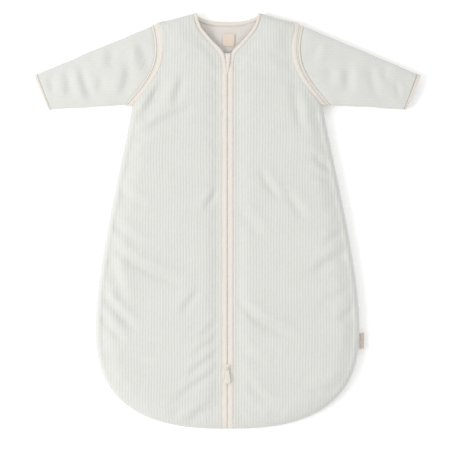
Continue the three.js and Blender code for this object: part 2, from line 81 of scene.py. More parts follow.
# Heights and thicknesses of the padded front and back
BACK_TOP = 8
FRONT_SEAM_Z = 9
FRONT_INNER_Z = 19
SEAM_THICKNESS = 3.2
FRONT_THICKNESS = 7
BACK_THICKNESS = 8
OPEN_EDGE_THICKNESS = 4.2
ZIP_EDGE_THICKNESS = 5.5
LINING = 0.8
GAP = 0.3
RISE = 60
SWELL = 30
OPEN_EDGE_SWELL = 20
ROLL = 22

# Ribbed velvet
RIB_PITCH = 4.9
RIB_HEIGHT = 0.62
COLUMNS_PER_RIB = 7
RIB_STEP = RIB_PITCH / COLUMNS_PER_RIB
RIB_SWAY = 0.9
RIPPLE_WAVES = 7

# The fold line of each front half as two points, and the width inside it, from which front_fold makes the
# start and end of a bend between the bag and the lapel.
FOLD_LINES = {
    "left": ((-1.5, -335), (-56.5, 351), 7),
    "right": ((0, -235), (56.5, 351), 12),
}


def lerp(a, b, t):
    return a + (b - a) * t


def smooth(t):
    t = np.clip(t, 0, 1)
    return t * t * (3 - 2 * t)


def curve_through(points, steps=12):
    """A smooth line through the points, as an array of points."""
    p = np.array([points[0], *points, points[-1]], float)
    line = []
    for i in range(1, len(p) - 2):
        t = np.linspace(0, 1, steps, endpoint=False)[:, None]
        a, b, c, d = p[i - 1], p[i], p[i + 1], p[i + 2]
        square = 2 * a - 5 * b + 4 * c - d
        cube = 3 * b - a - 3 * c + d
        line.append(0.5 * (2 * b + (c - a) * t + square * t**2 + cube * t**3))
    return np.vstack([*line, p[-1:]])


def bezier(a, b, c, d, n=160):
    t = np.linspace(0, 1, n + 1)[:, None]
    a, b, c, d = (np.array(p, float) for p in (a, b, c, d))
    return (1 - t) ** 3 * a + 3 * (1 - t) ** 2 * t * b + 3 * (1 - t) * t**2 * c + t**3 * d


HEM_DEPTH = HALF_LENGTH + WIDEST_Y
SIDE_SEAM = bezier(ARMPIT, *SIDE_SEAM_PULL, (HALF_WIDTH, WIDEST_Y))
NECK_LINE = curve_through(NECK_CURVE)


def hem_y(x):
    return WIDEST_Y - HEM_DEPTH * (1 - np.clip(x / HALF_WIDTH, 0, 1) ** HEM_POWER) ** (1 / HEM_POWER)


def armhole_x(y):
    s = (SHOULDER_TIP[1] - y) / (SHOULDER_TIP[1] - ARMPIT[1])
    return lerp(SHOULDER_TIP[0], ARMPIT[0], s) - ARMHOLE_BOW * np.sin(np.pi * s)


armhole_y = np.linspace(ARMPIT[1], SHOULDER_TIP[1], 300)
ARMHOLE_LINE = np.stack([armhole_x(armhole_y), armhole_y], 1)
deepest = int(np.argmin(ARMHOLE_LINE[:, 0]))
ARMHOLE_DEEPEST = ARMHOLE_LINE[deepest]
LOWER_ARMHOLE = ARMHOLE_LINE[: deepest + 1][::-1]
quarter = np.linspace(0, np.pi / 2, 80)
HEM_LINE = np.stack([
    HALF_WIDTH * np.cos(quarter) ** (2 / HEM_POWER),
    WIDEST_Y - HEM_DEPTH * np.sin(quarter) ** (2 / HEM_POWER),
], 1)
SEAM_LINES = [np.array([NECK_POINT, SHOULDER_TIP], float), SIDE_SEAM[::4], HEM_LINE]
OPEN_LINES = [ARMHOLE_LINE[::12], NECK_LINE[::3]]


def shoulder_y(x):
    return lerp(NECK_POINT[1], SHOULDER_TIP[1], (x - NECK_POINT[0]) / (SHOULDER_TIP[0] - NECK_POINT[0]))


def back_neck_y(x):
    return BACK_NECK_Y + (HALF_LENGTH - BACK_NECK_Y) * np.minimum(x / NECK_POINT[0], 1) ** BACK_NECK_POWER


def front_neck_y(x):
    return np.interp(x, NECK_LINE[:, 0], NECK_LINE[:, 1])


def top_y(x, neck_y):
    """The upper end of each column of a panel: the neckline, shoulder, armhole or side seam."""
    return np.select(
        [x <= NECK_POINT[0], x <= ARMHOLE_DEEPEST[0], x <= ARMPIT[0]],
        [neck_y(x), shoulder_y(x), np.interp(x, LOWER_ARMHOLE[:, 0], LOWER_ARMHOLE[:, 1])],
        np.interp(x, SIDE_SEAM[:, 0], SIDE_SEAM[:, 1]),
    )


def distance(lines, x, y):
    """How far each point is from the nearest of the lines."""
    best = np.full(np.shape(x), np.inf)
    for line in lines:
        for (ax, ay), (bx, by) in zip(line[:-1], line[1:]):
            length2 = (bx - ax) ** 2 + (by - ay) ** 2
            if length2 < 1e-12:
                continue
            t = np.clip(((x - ax) * (bx - ax) + (y - ay) * (by - ay)) / length2, 0, 1)
            best = np.minimum(best, np.hypot(x - ax - t * (bx - ax), y - ay - t * (by - ay)))
    return best


def rounded(d, radius):
    """Rises from 0 at an edge to 1 at the radius, as a quarter circle does."""
    c = np.clip(1 - d / radius, 0, 1)
    return np.sqrt(1 - c * c)


def front_edges(x, y):
    """How far each point of a front half is from its seams, its openings and its nearest edge."""
    seam = distance(SEAM_LINES, x, y)
    opening = distance(OPEN_LINES, x, y)
    return seam, opening, np.minimum.reduce([seam, opening, x - PANEL_EDGE_X])


def front_low(seam):
    """The padded front's lower face, this far from the seams."""
    return lerp(FRONT_SEAM_Z, FRONT_INNER_Z, smooth(seam / RISE))


def front_top(x, y):
    """The padded front's upper face: it rolls off within a short way of the seams."""
    seam, opening, _ = front_edges(x, y)
    inner = lerp(FRONT_SEAM_Z, FRONT_INNER_Z, rounded(seam, ROLL))
    thickness = np.minimum.reduce([
        lerp(SEAM_THICKNESS, FRONT_THICKNESS, rounded(seam, ROLL)),
        lerp(OPEN_EDGE_THICKNESS, FRONT_THICKNESS, smooth(opening / OPEN_EDGE_SWELL)),
        lerp(ZIP_EDGE_THICKNESS, FRONT_THICKNESS, smooth((x - PANEL_EDGE_X) / OPEN_EDGE_SWELL)),
    ])
    return inner + thickness


# ---------------------------------------------------------------- mesh helpers
def select_only(piece):
    bpy.ops.object.select_all(action="DESELECT")
    piece.select_set(True)
    bpy.context.view_layer.objects.active = piece


def in_edit_mode(piece, *steps):
    select_only(piece)
    bpy.ops.object.mode_set(mode="EDIT")
    bpy.ops.mesh.select_all(action="SELECT")
    for step in steps:
        step()
    bpy.ops.object.mode_set(mode="OBJECT")


def points_of(piece):
    co = np.empty(len(piece.data.vertices) * 3)
    piece.data.vertices.foreach_get("co", co)
    return co.reshape(-1, 3) / MM


def set_points(piece, points):
    piece.data.vertices.foreach_set("co", (np.asarray(points) * MM).ravel())
    piece.data.update()


def apply_modifier(piece, kind, **settings):
    select_only(piece)
    modifier = piece.modifiers.new(kind.title(), kind)
    for name, value in settings.items():
        setattr(modifier, name, value)
    bpy.ops.object.modifier_apply(modifier=modifier.name)


def merge_doubles():
    bpy.ops.mesh.remove_doubles(threshold=2e-6)


def drop_slivers():
    bpy.ops.mesh.dissolve_degenerate(threshold=1e-6)


def face_outwards():
    bpy.ops.mesh.normals_make_consistent(inside=False)


def new_grid(name, columns, rows, place):
    """A grid whose point at share u across and v along goes to place(u, v), three arrays in millimetres."""
    bpy.ops.object.select_all(action="DESELECT")
    bpy.ops.mesh.primitive_grid_add(x_subdivisions=columns, y_subdivisions=rows, size=2)
    piece = bpy.context.object
    piece.name = piece.data.name = name
    share = points_of(piece) * MM / 2 + 0.5
    set_points(piece, np.stack(place(share[:, 0], share[:, 1]), 1))
    return piece


def grid_shares(piece):
    """The share across and along the grid that each face corner was made at."""
    uv = np.empty(len(piece.data.loops) * 2)
    piece.data.uv_layers[0].data.foreach_get("uv", uv)
    return uv.reshape(-1, 2).T


def lay_cloth(piece, across, along):
    """Says where each face corner lies on the flat cloth, for the weave and the ribs to follow."""
    uv = np.stack([across, along], 1) * MM
    piece.data.uv_layers[0].data.foreach_set("uv", uv.ravel())


def corner_points(piece):
    corners = np.empty(len(piece.data.loops), int)
    piece.data.loops.foreach_get("vertex_index", corners)
    return points_of(piece)[corners]


def lay_flat(piece):
    """Lays the cloth out just as the piece lies, seen from above."""
    corners = corner_points(piece)
    lay_cloth(piece, corners[:, 0], corners[:, 1])


def thin_cloth(name, columns, rows, place, thickness):
    """A single sheet of cloth whose upper face goes to place(u, v)."""
    sheet = new_grid(name, columns, rows, place)
    apply_modifier(sheet, "SOLIDIFY", thickness=thickness * MM, offset=-1)
    in_edit_mode(sheet, face_outwards)
    lay_flat(sheet)
    return sheet


def finish_piece(piece, material, body=None, blend=None, replaces=(), angle=None):
    """Gives a piece its shading and material, hangs it on the empty of the body it rides on or, when a blend
    is given, only bakes its placing in without keeping the blend, and hides the parts it stands in for.
    """
    select_only(piece)
    if angle is None:
        bpy.ops.object.shade_smooth()
    else:
        bpy.ops.object.shade_smooth_by_angle(angle=math.radians(angle))
    piece.data.materials.clear()
    piece.data.materials.append(material)
    if blend:
        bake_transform(piece)
    else:
        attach(piece, body)
    if replaces:
        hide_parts(*replaces)
    return piece


def front_fold(side):
    (x0, y0), (x1, y1), width = FOLD_LINES[side]
    sign = SIDES[side]
    reach = width / math.hypot(x1 - x0, y1 - y0)
    start = (x0 * MM, y0 * MM, 0)
    end = ((x0 - sign * reach * (y1 - y0)) * MM, (y0 + sign * reach * (x1 - x0)) * MM, 0)
    return "bag", f"lapel_{side}", start, end


def ripple(x, y, wavelength, seed):
    """A soft uneven surface between about -1 and 1, the same on every run."""
    rng = np.random.default_rng(seed)
    total = 0
    for _ in range(RIPPLE_WAVES):
        angle, phase = rng.uniform(0, 2 * np.pi, 2)
        length = wavelength * rng.uniform(0.7, 1.6)
        total = total + np.sin(2 * np.pi * (x * np.cos(angle) + y * np.sin(angle)) / length + phase)
    return total / RIPPLE_WAVES**0.5


# ---------------------------------------------------------------- sewn panels
# Soft folds in the front, each from one point to another: x0, y0, x1, y1, width, depth, bend
FRONT_FOLDS = (
    (-148, 166, -102, 240, 10, 8.0, 0),
    (-166, 132, -46, 194, 8, 4.4, 5),
    (-92, 188, -70, 248, 7, 2.8, 0),
    (-194, 58, -128, 22, 8, 2.8, -3),
    (-206, 8, -134, -42, 8, 2.8, -5),
    (-204, -36, -64, -106, 8, 4.6, -11),
    (-200, -52, -174, -148, 10, 2.8, 0),
    (-218, -114, -150, -184, 7, 4.2, -4),
    (-218, -154, -168, -206, 7, 3.4, -3),
    (-42, 16, -12, 56, 6, 2.8, 0),
    (-80, -160, -44, -114, 7, 2.6, 0),
    (-52, -206, -8, -166, 6, 1.8, 2),
    (-62, -232, -8, -192, 6, 2.2, 2),
    (-74, -266, -6, -218, 6, 2.8, 2),
    (-94, -306, -6, -246, 6, 2.6, 2),
    (-86, -350, -8, -308, 8, 3.2, 2),
    (-198, -226, -118, -236, 12, 1.8, 0),
    (28, 252, 118, 238, 9, 2.0, 0),
    (110, 236, 126, 146, 9, 3.6, 0),
    (52, 90, 90, 36, 7, 3.2, -3),
    (96, 56, 138, -2, 8, 2.4, -3),
    (138, 112, 188, 82, 6, 3.8, 0),
    (138, 82, 188, 64, 6, 2.6, 0),
    (158, -42, 206, -14, 7, 2.8, 2),
    (136, -92, 212, -50, 8, 3.6, 4),
    (10, -128, 120, -196, 8, 4.8, -11),
    (28, -266, 78, -308, 7, 2.6, -3),
    (18, -208, 72, -248, 7, 1.8, -3),
    (182, -170, 222, -144, 7, 2.6, 0),
    (126, -294, 202, -276, 9, 2.4, 0),
    (148, -142, 208, -118, 9, 1.8, 0),
    (16, 22, 62, -26, 9, 2.2, 0),
    (30, -40, 152, -28, 16, 1.8, 0),
)


def fold_height(x, y, folds):
    """Each fold is a valley with a lower ridge along one side, fading out at its ends."""
    total = np.zeros(np.shape(x))
    for x0, y0, x1, y1, width, depth, bend in folds:
        length = math.hypot(x1 - x0, y1 - y0)
        dx, dy = (x1 - x0) / length, (y1 - y0) / length
        along = ((x - x0) * dx + (y - y0) * dy) / length
        across = (x - x0) * -dy + (y - y0) * dx - bend * np.sin(np.pi * np.clip(along, 0, 1))
        ends = np.exp(-(((along - 0.5) / 0.36) ** 2) ** 2)
        valley = np.exp(-((across / width) ** 2))
        ridge = np.exp(-(((across - 1.7 * width) / (1.2 * width)) ** 2))
        total += depth * ends * (0.55 * ridge - valley)
    return total


def uneven_pile(x, y, seed):
    """Brushed pile stands a little higher in some places than in others."""
    return 1 + 0.18 * ripple(x, y, 16, seed) + 0.1 * ripple(x, y, 6, seed + 1)


def rib_height(x):
    """Round cords side by side, with a narrow valley between two of them."""
    return RIB_HEIGHT * np.abs(np.sin(np.pi * x / RIB_PITCH)) ** 0.6


def armhole_shift(across, y):
    """Columns beside the armhole lean out to follow its upper end."""
    deepest_x, deepest_y = ARMHOLE_DEEPEST
    lean = np.where(y > deepest_y, armhole_x(np.minimum(y, SHOULDER_TIP[1])) - deepest_x, 0)
    beside = smooth((across - LEAN_FROM_X) / (deepest_x - LEAN_FROM_X))
    return lean * np.where(across <= deepest_x + 1e-6, beside, 0)


def sewn_panel(name, x_range, column_step, row_step, neck_y, heights, sway=None):
    """A closed panel cut to the bag's outline. heights(x, y) gives its lower and upper face."""
    columns = round(abs(x_range[1] - x_range[0]) / column_step)
    rows = round(2 * HALF_LENGTH / row_step)

    def place(u, v):
        x = lerp(x_range[0], x_range[1], u)
        across = np.abs(x)
        y = np.clip(lerp(-HALF_LENGTH, HALF_LENGTH, v), hem_y(across), top_y(across, neck_y))
        leaning = across + armhole_shift(across, y)
        on_shoulder = (y >= shoulder_y(across) - 0.5) & (across > NECK_POINT[0])
        y = np.where(on_shoulder, shoulder_y(leaning), y)
        return np.sign(x) * leaning, y, 0 * x

    panel = new_grid(name, columns, rows, place)
    in_edit_mode(panel, merge_doubles, drop_slivers)
    apply_modifier(panel, "SOLIDIFY", thickness=MM, offset=-1)
    points = points_of(panel)
    half = len(points) // 2
    x, y = points[:half, 0], points[:half, 1]
    low, top = heights(x, y)
    points[:half, 2] = top
    points[half:, 2] = low
    points[half:, :2] = points[:half, :2]
    set_points(panel, points)
    lay_flat(panel)
    if sway is not None:
        points[:half, 0] += sway(x, y)
        set_points(panel, points)
    in_edit_mode(panel, face_outwards)
    return panel


def front_span(side):
    """The first and last column of a front half, the first on a whole step of the ribs."""
    first = math.ceil(PANEL_EDGE_X / RIB_STEP) * RIB_STEP
    return (SIDES[side] * first, SIDES[side] * PANEL_SIDE_X)


# ---------------------------------------------------------------- padding, by cloth simulation
PAD_DEPTH = 16
PAD_SINK = 1.5
PAD_HELD_BELOW = 6
PAD_HELD_EDGE = 8
PAD_VOXEL = 6
PAD_FRAMES = 20
PAD_CAP = 3
PAD_CLOTH = {
    "quality": 4,
    "mass": 0.3,
    "tension_stiffness": 12,
    "compression_stiffness": 12,
    "shear_stiffness": 4,
    "bending_stiffness": 0.6,
    "shrink_min": -0.012,
    "use_pressure": True,
    "uniform_pressure_force": 4,
    "vertex_group_mass": "held",
}


def puff(side):
    """The padded front half, blown up between its seams. Returns a tree to measure its top from."""
    def heights(x, y):
        top = front_top(np.abs(x), y) - PAD_SINK
        return top - PAD_DEPTH, top

    pad = sewn_panel(f"pad_{side}", front_span(side), 6, 8, front_neck_y, heights)
    apply_modifier(pad, "REMESH", mode="VOXEL", voxel_size=PAD_VOXEL * MM)
    rest = points_of(pad)
    across = np.abs(rest[:, 0])
    _, _, edge = front_edges(across, rest[:, 1])
    held = (rest[:, 2] < front_top(across, rest[:, 1]) - PAD_HELD_BELOW) | (edge < PAD_HELD_EDGE)
    group = pad.vertex_groups.new(name="held")
    group.add([int(i) for i in np.flatnonzero(held)], 1.0, "REPLACE")
    cloth = pad.modifiers.new("Cloth", "CLOTH")
    for name, value in PAD_CLOTH.items():
        setattr(cloth.settings, name, value)
    cloth.settings.effector_weights.gravity = 0
    cloth.collision_settings.use_collision = False
    cloth.point_cache.frame_start = 1
    cloth.point_cache.frame_end = PAD_FRAMES
    scene = bpy.context.scene
    for frame_number in range(1, PAD_FRAMES + 1):
        scene.frame_set(frame_number)
    graph = bpy.context.evaluated_depsgraph_get()
    made = bpy.data.meshes.new_from_object(pad.evaluated_get(graph))
    pad.modifiers.clear()
    pad.data = made
    scene.frame_set(1)
    moved = points_of(pad) - rest
    size = np.linalg.norm(moved, axis=1, keepdims=True)
    moved *= np.minimum(1, PAD_CAP / np.maximum(size, 1e-6))
    set_points(pad, rest + moved)
    apply_modifier(pad, "SUBSURF", levels=1, render_levels=1)
    tree = BVHTree.FromObject(pad, bpy.context.evaluated_depsgraph_get())
    bpy.data.objects.remove(pad)
    return tree


def top_of(tree, x, y, fallback):
    """How high the simulated pad stands at each point."""
    z = np.array(fallback, float)
    for i, (px, py) in enumerate(zip(x * MM, y * MM)):
        hit = tree.ray_cast(Vector((px, py, 1)), Vector((0, 0, -1)))[0]
        if hit is not None:
            z[i] = hit.z / MM
    return z


def make_front(side):
    tree = puff(side)

    def heights(x, y):
        seam, opening, edge = front_edges(np.abs(x), y)
        top = front_top(np.abs(x), y)
        padded = top - PAD_SINK
        if tree is not None:
            padded = lerp(padded, top_of(tree, x, y, padded), smooth((edge - 3) / 10))
        padded = padded + fold_height(x, y, FRONT_FOLDS) * smooth(edge / 16)
        top = lerp(top - 0.2, padded, smooth(edge / 14))
        low = front_low(seam) + LINING + GAP + 0.8 * smooth(edge / 12)
        top = top + rib_height(x) * uneven_pile(x, y, 51) * smooth(edge / 4)
        top = low + np.maximum(top - low, 1.2) * rounded(seam + 0.6, 6) * rounded(opening + 1.5, 4)
        return low, top

    def sway(x, y):
        _, _, edge = front_edges(np.abs(x), y)
        return RIB_SWAY * ripple(x / 3, y, 80, 61) * smooth(edge / 40)

    name = f"front_{side}_velvet"
    return sewn_panel(name, front_span(side), RIB_STEP, 4.5, front_neck_y, heights, sway)


def make_lining(side):
    def heights(x, y):
        seam, opening, _ = front_edges(np.abs(x), y)
        sag = 0.5 * (1 + ripple(x, y, 70, 11)) * smooth(np.minimum(seam, opening) / 25)
        return front_low(seam) - sag, front_low(seam) + LINING

    return sewn_panel(f"front_{side}_lining_cloth", front_span(side), 2, 3.5, front_neck_y, heights)


BACK_SPAN = (-PANEL_SIDE_X, PANEL_SIDE_X)


def back_top_y(x):
    """The back's neckline, below its binding."""
    return back_neck_y(x) - np.where(x < NECK_POINT[0], BACK_BINDING_WIDTH + GAP, 0)


def neck_bulge(x, y):
    """The back's padding rises a little inside the neck opening, where nothing presses on it."""
    across = np.abs(x)
    under_neckline = smooth((back_neck_y(across) - 4 - y) / 26)
    return NECK_BULGE * smooth(1 - across / 62) * smooth((y - 235) / 40) * under_neckline


def back_faces(x, y):
    seam = distance(SEAM_LINES, np.abs(x), y)
    return BACK_TOP - lerp(SEAM_THICKNESS, BACK_THICKNESS, smooth(seam / SWELL)), seam


def make_back():
    def heights(x, y):
        low, seam = back_faces(x, y)
        high = BACK_TOP - LINING - GAP + neck_bulge(x, y)
        soft = 0.5 * (1 + ripple(x, y, 90, 5)) * smooth(seam / 40)
        low = np.maximum(low + soft - rib_height(x) * smooth(seam / 4) + RIB_HEIGHT, 0.05)
        low = high - np.maximum(high - low, 1.0) * rounded(seam + 0.6, 5)
        return low, high

    return sewn_panel("back_velvet", BACK_SPAN, RIB_STEP, 8, back_top_y, heights)


def make_back_lining():
    def heights(x, y):
        _, seam = back_faces(x, y)
        top = BACK_TOP + 0.5 * ripple(x, y, 60, 8) * smooth((seam - 4) / 20) + neck_bulge(x, y)
        return top - LINING, top

    return sewn_panel("back_lining_cloth", BACK_SPAN, 5, 6, back_top_y, heights)


# ---------------------------------------------------------------- bindings
BINDING_WIDTH = 9.2
NECK_BINDING_WIDTH = 6.0
BACK_BINDING_WIDTH = 6
BINDING_EDGE_X = 9.6
BINDING_LAP = 0.8
PROFILE_POINTS = 16
STRIP_CORNER = 0.55
BAND_CORNER = 0.6
GUARD_CORNER = 0.7


def profile(v, power):
    """An oblong, softer-cornered as the power nears 1: shares across and up, going once round."""
    angle = 2 * np.pi * v
    across, up = np.cos(angle), np.sin(angle)
    return np.sign(across) * np.abs(across) ** power, np.sign(up) * np.abs(up) ** power


def resampled(line, step):
    """The same line with its points evenly spaced."""
    line = np.asarray(line, float)
    length = np.concatenate([[0], np.cumsum(np.linalg.norm(np.diff(line, axis=0), axis=1))])
    at = np.linspace(0, length[-1], max(2, round(length[-1] / step) + 1))
    return np.stack([np.interp(at, length, line[:, k]) for k in range(line.shape[1])], 1)


def normals_of(line):
    """The direction to the left of the line at each of its points."""
    way = np.gradient(line[:, :2], axis=0)
    way /= np.linalg.norm(way, axis=1, keepdims=True)
    return np.stack([-way[:, 1], way[:, 0]], 1)


def close_ends():
    bpy.ops.mesh.fill_holes(sides=0)


def strip_along(name, line, width, low, high):
    """A folded strip along a line in the plan, with a width and two heights at each point."""
    side = normals_of(line)
    share = np.linspace(0, 1, len(line))
    width = np.broadcast_to(width, share.shape)

    def place(u, v):
        x, y = (np.interp(v, share, line[:, k]) for k in (0, 1))
        side_x, side_y = (np.interp(v, share, side[:, k]) for k in (0, 1))
        bottom, top = np.interp(v, share, low), np.interp(v, share, high)
        across, up = profile(u, STRIP_CORNER)
        reach = across * np.interp(v, share, width) / 2
        return x + side_x * reach, y + side_y * reach, (top + bottom) / 2 + up * (top - bottom) / 2

    strip = new_grid(name, PROFILE_POINTS, len(line) - 1, place)
    in_edit_mode(strip, merge_doubles, close_ends, face_outwards)
    u, v = grid_shares(strip)
    length = np.sum(np.linalg.norm(np.diff(line, axis=0), axis=1))
    lay_cloth(strip, u * 2 * (np.mean(width) + np.mean(high - low)), v * length)
    return strip


def zip_edge_line():
    """The right binding's outer edge, from the hem up beside the zip and round the neckline."""
    beside_zip = [(BINDING_EDGE_X, hem_y(BINDING_EDGE_X) + 1.5), (BINDING_EDGE_X, ZIP_TOP_Y)]
    neckline = NECK_LINE - normals_of(NECK_LINE) * BINDING_LAP
    line = resampled(np.vstack([beside_zip, neckline[2:]]), 3)
    for _ in range(3):
        line[1:-1] = (line[:-2] + 2 * line[1:-1] + line[2:]) / 4
    return line


def binding_heights(x, y):
    """The lower and upper face of the strip along the zip and the neckline."""
    inside = np.maximum(x, PANEL_EDGE_X)
    seam, _, _ = front_edges(inside, y)
    hem_rise = rounded(y - hem_y(x), ROLL)
    on_neck = smooth((y - ZIP_TOP_Y) / 20)
    low = lerp(FRONT_SEAM_Z + GAP, BINDING_Z[0], hem_rise)
    high = lerp(FRONT_SEAM_Z + SEAM_THICKNESS, BINDING_Z[1], hem_rise)
    return lerp(low, front_low(seam), on_neck), lerp(high, front_top(inside, y) + 0.6, on_neck)


def make_front_binding(side):
    edge = zip_edge_line()
    width = lerp(BINDING_WIDTH, NECK_BINDING_WIDTH, smooth((edge[:, 1] - ZIP_TOP_Y) / 60))
    line = edge + normals_of(edge) * width[:, None] / 2
    line[:, 1] = np.minimum(line[:, 1], HALF_LENGTH - 0.4)
    x, y = line.T
    low, high = binding_heights(x, y)
    high = high + 0.25 * ripple(0 * y, y, 30, 21 + SIDES[side])
    line[:, 0] *= SIDES[side]
    return strip_along(f"front_binding_{side}_strip", line, width, low, high)


def make_back_neck_binding():
    x = np.linspace(-NECK_POINT[0], NECK_POINT[0], 50)
    width = BACK_BINDING_WIDTH + 2 * BINDING_LAP
    line = np.stack([x, back_neck_y(np.abs(x)) - width / 2], 1)
    low, _ = back_faces(x, line[:, 1])
    return strip_along("back_neck_binding_strip", line, width, low, 0 * x + BACK_TOP + 1.2)


# ---------------------------------------------------------------- rows of one small shape
def row_of(name, shape, line, pitch):
    """Copies of one small shape along a line in space, each turned to run with it."""
    line = resampled(line, pitch)
    way = np.gradient(line, axis=0)
    way /= np.linalg.norm(way, axis=1, keepdims=True)
    side = np.stack([-way[:, 1], way[:, 0], 0 * way[:, 0]], 1)
    side /= np.linalg.norm(side, axis=1, keepdims=True)
    up = np.cross(way, side)
    piece = shape()
    piece.name = piece.data.name = name
    apply_modifier(
        piece, "ARRAY", count=len(line), use_relative_offset=False, use_constant_offset=True,
        constant_offset_displace=(1, 0, 0),
    )
    copies = points_of(piece).reshape(len(line), -1, 3)
    copies[:, :, 0] -= np.arange(len(line))[:, None] / MM
    frames = np.stack([way, side, up], 1)
    set_points(piece, (line[:, None] + np.einsum("nvk,nkj->nvj", copies, frames)).reshape(-1, 3))
    return piece


def small_shape(add, shaping):
    """A primitive of a millimetre or two whose points are then moved by shaping(points)."""
    def make():
        bpy.ops.object.select_all(action="DESELECT")
        add()
        piece = bpy.context.object
        set_points(piece, shaping(points_of(piece) * MM))
        in_edit_mode(piece, face_outwards)
        return piece
    return make


def add_ball():
    bpy.ops.mesh.primitive_uv_sphere_add(segments=8, ring_count=6, radius=1)


def stitch_points(p):
    """Long, thin and bowed, with its ends going down into the cloth."""
    long, wide = STITCH_LENGTH / 2, STITCH_WIDTH / 2
    return np.stack([p[:, 2] * long, p[:, 1] * wide, p[:, 0] * wide - 0.35 * p[:, 2] ** 2], 1)


def tooth_points(p):
    """One turn of the coil: a rod across the zip with a thicker head where it locks."""
    head = 1 + 0.35 * smooth(p[:, 2])
    x = p[:, 0] * 0.36 * head
    y = np.sign(p[:, 2]) * np.abs(p[:, 2]) ** 0.7 * TOOTH_REACH
    return np.stack([x + 0.12 * p[:, 2], y, p[:, 1] * 0.9 * head], 1)


STITCH_LENGTH = 2.6
STITCH_WIDTH = 0.5
STITCH_PITCH = 3.4
TOOTH_PITCH = 1.5
TOOTH_REACH = 1.3
COIL_Z = 23.6
COIL_FOOT_Y = -254
stitch = small_shape(add_ball, stitch_points)
tooth = small_shape(add_ball, tooth_points)


def make_binding_stitches(side):
    line = zip_edge_line()[4:-2]
    line = line + normals_of(line) * 1.1
    x, y = line.T
    _, high = binding_heights(x, y)
    line = np.stack([SIDES[side] * x, y, high + 0.05], 1)
    return row_of(f"front_binding_{side}_stitches", stitch, line, STITCH_PITCH)


def make_teeth(side):
    sign = SIDES[side]
    shift = TOOTH_PITCH / 2 if sign > 0 else 0
    ends = (COIL_FOOT_Y + shift, ZIP_TOP_Y - TOOTH_PITCH + shift)
    x = sign * (TOOTH_REACH - 0.45)
    line = [(x, ends[0], COIL_Z), (x, ends[1], COIL_Z)]
    return row_of(f"zip_teeth_{side}", tooth, line[::-1] if sign < 0 else line, TOOTH_PITCH)


TAPE_Z = 20.6
TAPE_FOOT_Y = -289
TAPE_ROWS = 179
# The tape's columns, from its inner edge out, and how far its corded edge raises each
TAPE_X = np.array([1.4, 1.7, 2.0, 2.3, 2.8, 4, 6, 8.6])
TAPE_CORD = np.array([0, 0.5, 0.6, 0.4, 0, 0, 0, 0])


def make_tape(side):
    """The woven tape under the binding, with the corded edge that carries the coil."""
    def place(u, v):
        x = np.interp(u, np.linspace(0, 1, len(TAPE_X)), TAPE_X)
        z = TAPE_Z + np.interp(x, TAPE_X, TAPE_CORD)
        return SIDES[side] * x, lerp(TAPE_FOOT_Y, ZIP_TOP_Y, v), z

    tape = new_grid(f"zip_tape_{side}_cloth", len(TAPE_X) - 1, TAPE_ROWS, place)
    apply_modifier(tape, "SOLIDIFY", thickness=0.5 * MM, offset=-1)
    points = points_of(tape)
    hem_rise = smooth((points[:, 1] - hem_y(8)) / RISE)
    points[:, 2] = lerp(FRONT_SEAM_Z + GAP, TAPE_Z, hem_rise) + (points[:, 2] - TAPE_Z)
    set_points(tape, points)
    in_edit_mode(tape, face_outwards)
    lay_flat(tape)
    return tape


ZIP_FOOT_TOP_Y = -262
ZIP_FOOT_TURN = 0.06


def make_zip_foot():
    """The strip behind the foot of the zip. Its lower end turns down and closes the hem there."""
    def place(u, v):
        above_turn = np.maximum(v - ZIP_FOOT_TURN, 0) / (1 - ZIP_FOOT_TURN)
        y = lerp(hem_y(0) + 1.2, ZIP_FOOT_TOP_Y, above_turn)
        flat_z = lerp(FRONT_SEAM_Z + GAP, BINDING_Z[0], rounded(y - hem_y(0), ROLL)) + 1.3
        half = lerp(9.3, 2.2, smooth((v - 0.04) / 0.03))
        return lerp(-half, half, u), y, flat_z - 2.9 * smooth(1 - v / ZIP_FOOT_TURN)

    return thin_cloth("zip_foot_cloth", 6, 60, place, 0.8)


GUARD_SPAN_Y = (249.5, 281)
GUARD_TOP_X = (-3.6, 5.6)
GUARD_FOOT_X = (-0.9, 1.1)
GUARD_Z = 24.6
GUARD_HALF_THICKNESS = 1.1


def make_zip_guard():
    """The folded triangle of cloth that covers the top of the zip."""
    def place(u, v):
        across, up = profile(u, GUARD_CORNER)
        left, right = (lerp(GUARD_FOOT_X[k], GUARD_TOP_X[k], v**0.8) for k in (0, 1))
        middle = GUARD_Z + 0.5 * np.sin(np.pi * v) + 0.5 * (1 - across**2) * v
        thins = np.sqrt(1 - np.clip((v - 0.93) / 0.07, 0, 1) ** 2) * smooth(v / 0.04)
        y = lerp(*GUARD_SPAN_Y, v) + 1.6 * across * smooth((v - 0.8) / 0.2)
        z = middle + GUARD_HALF_THICKNESS * up * np.maximum(thins, 0.12)
        return lerp(left, right, (1 + across) / 2), y, z

    guard = new_grid("zip_guard_cloth", 24, 30, place)
    in_edit_mode(guard, merge_doubles, close_ends, face_outwards)
    u, v = grid_shares(guard)
    lay_cloth(guard, u * 20, v * 31)
    return guard


UNDERLAP_SPAN_Y = (247.5, 283)
UNDERLAP_HALF_WIDTHS = (8.0, 15.0)
UNDERLAP_Z = 19.8


def make_zip_underlap():
    """The strip of cloth behind the top of the zip, which keeps it off the chin."""
    def place(u, v):
        half = lerp(*UNDERLAP_HALF_WIDTHS, smooth((v - 0.45) / 0.55))
        out = np.abs(2 * u - 1)
        y = lerp(*UNDERLAP_SPAN_Y, v) - 2.5 * out**2 * v
        z = UNDERLAP_Z + 1.4 * smooth((v - 0.5) / 0.35) - 0.8 * out**3
        return lerp(-half, half, u), y, z

    return thin_cloth("zip_underlap_cloth", 16, 24, place, 0.6)


# ---------------------------------------------------------------- copies of hard parts, with softened edges
def dissolve_flat():
    bpy.ops.mesh.dissolve_limited(angle_limit=math.radians(1))


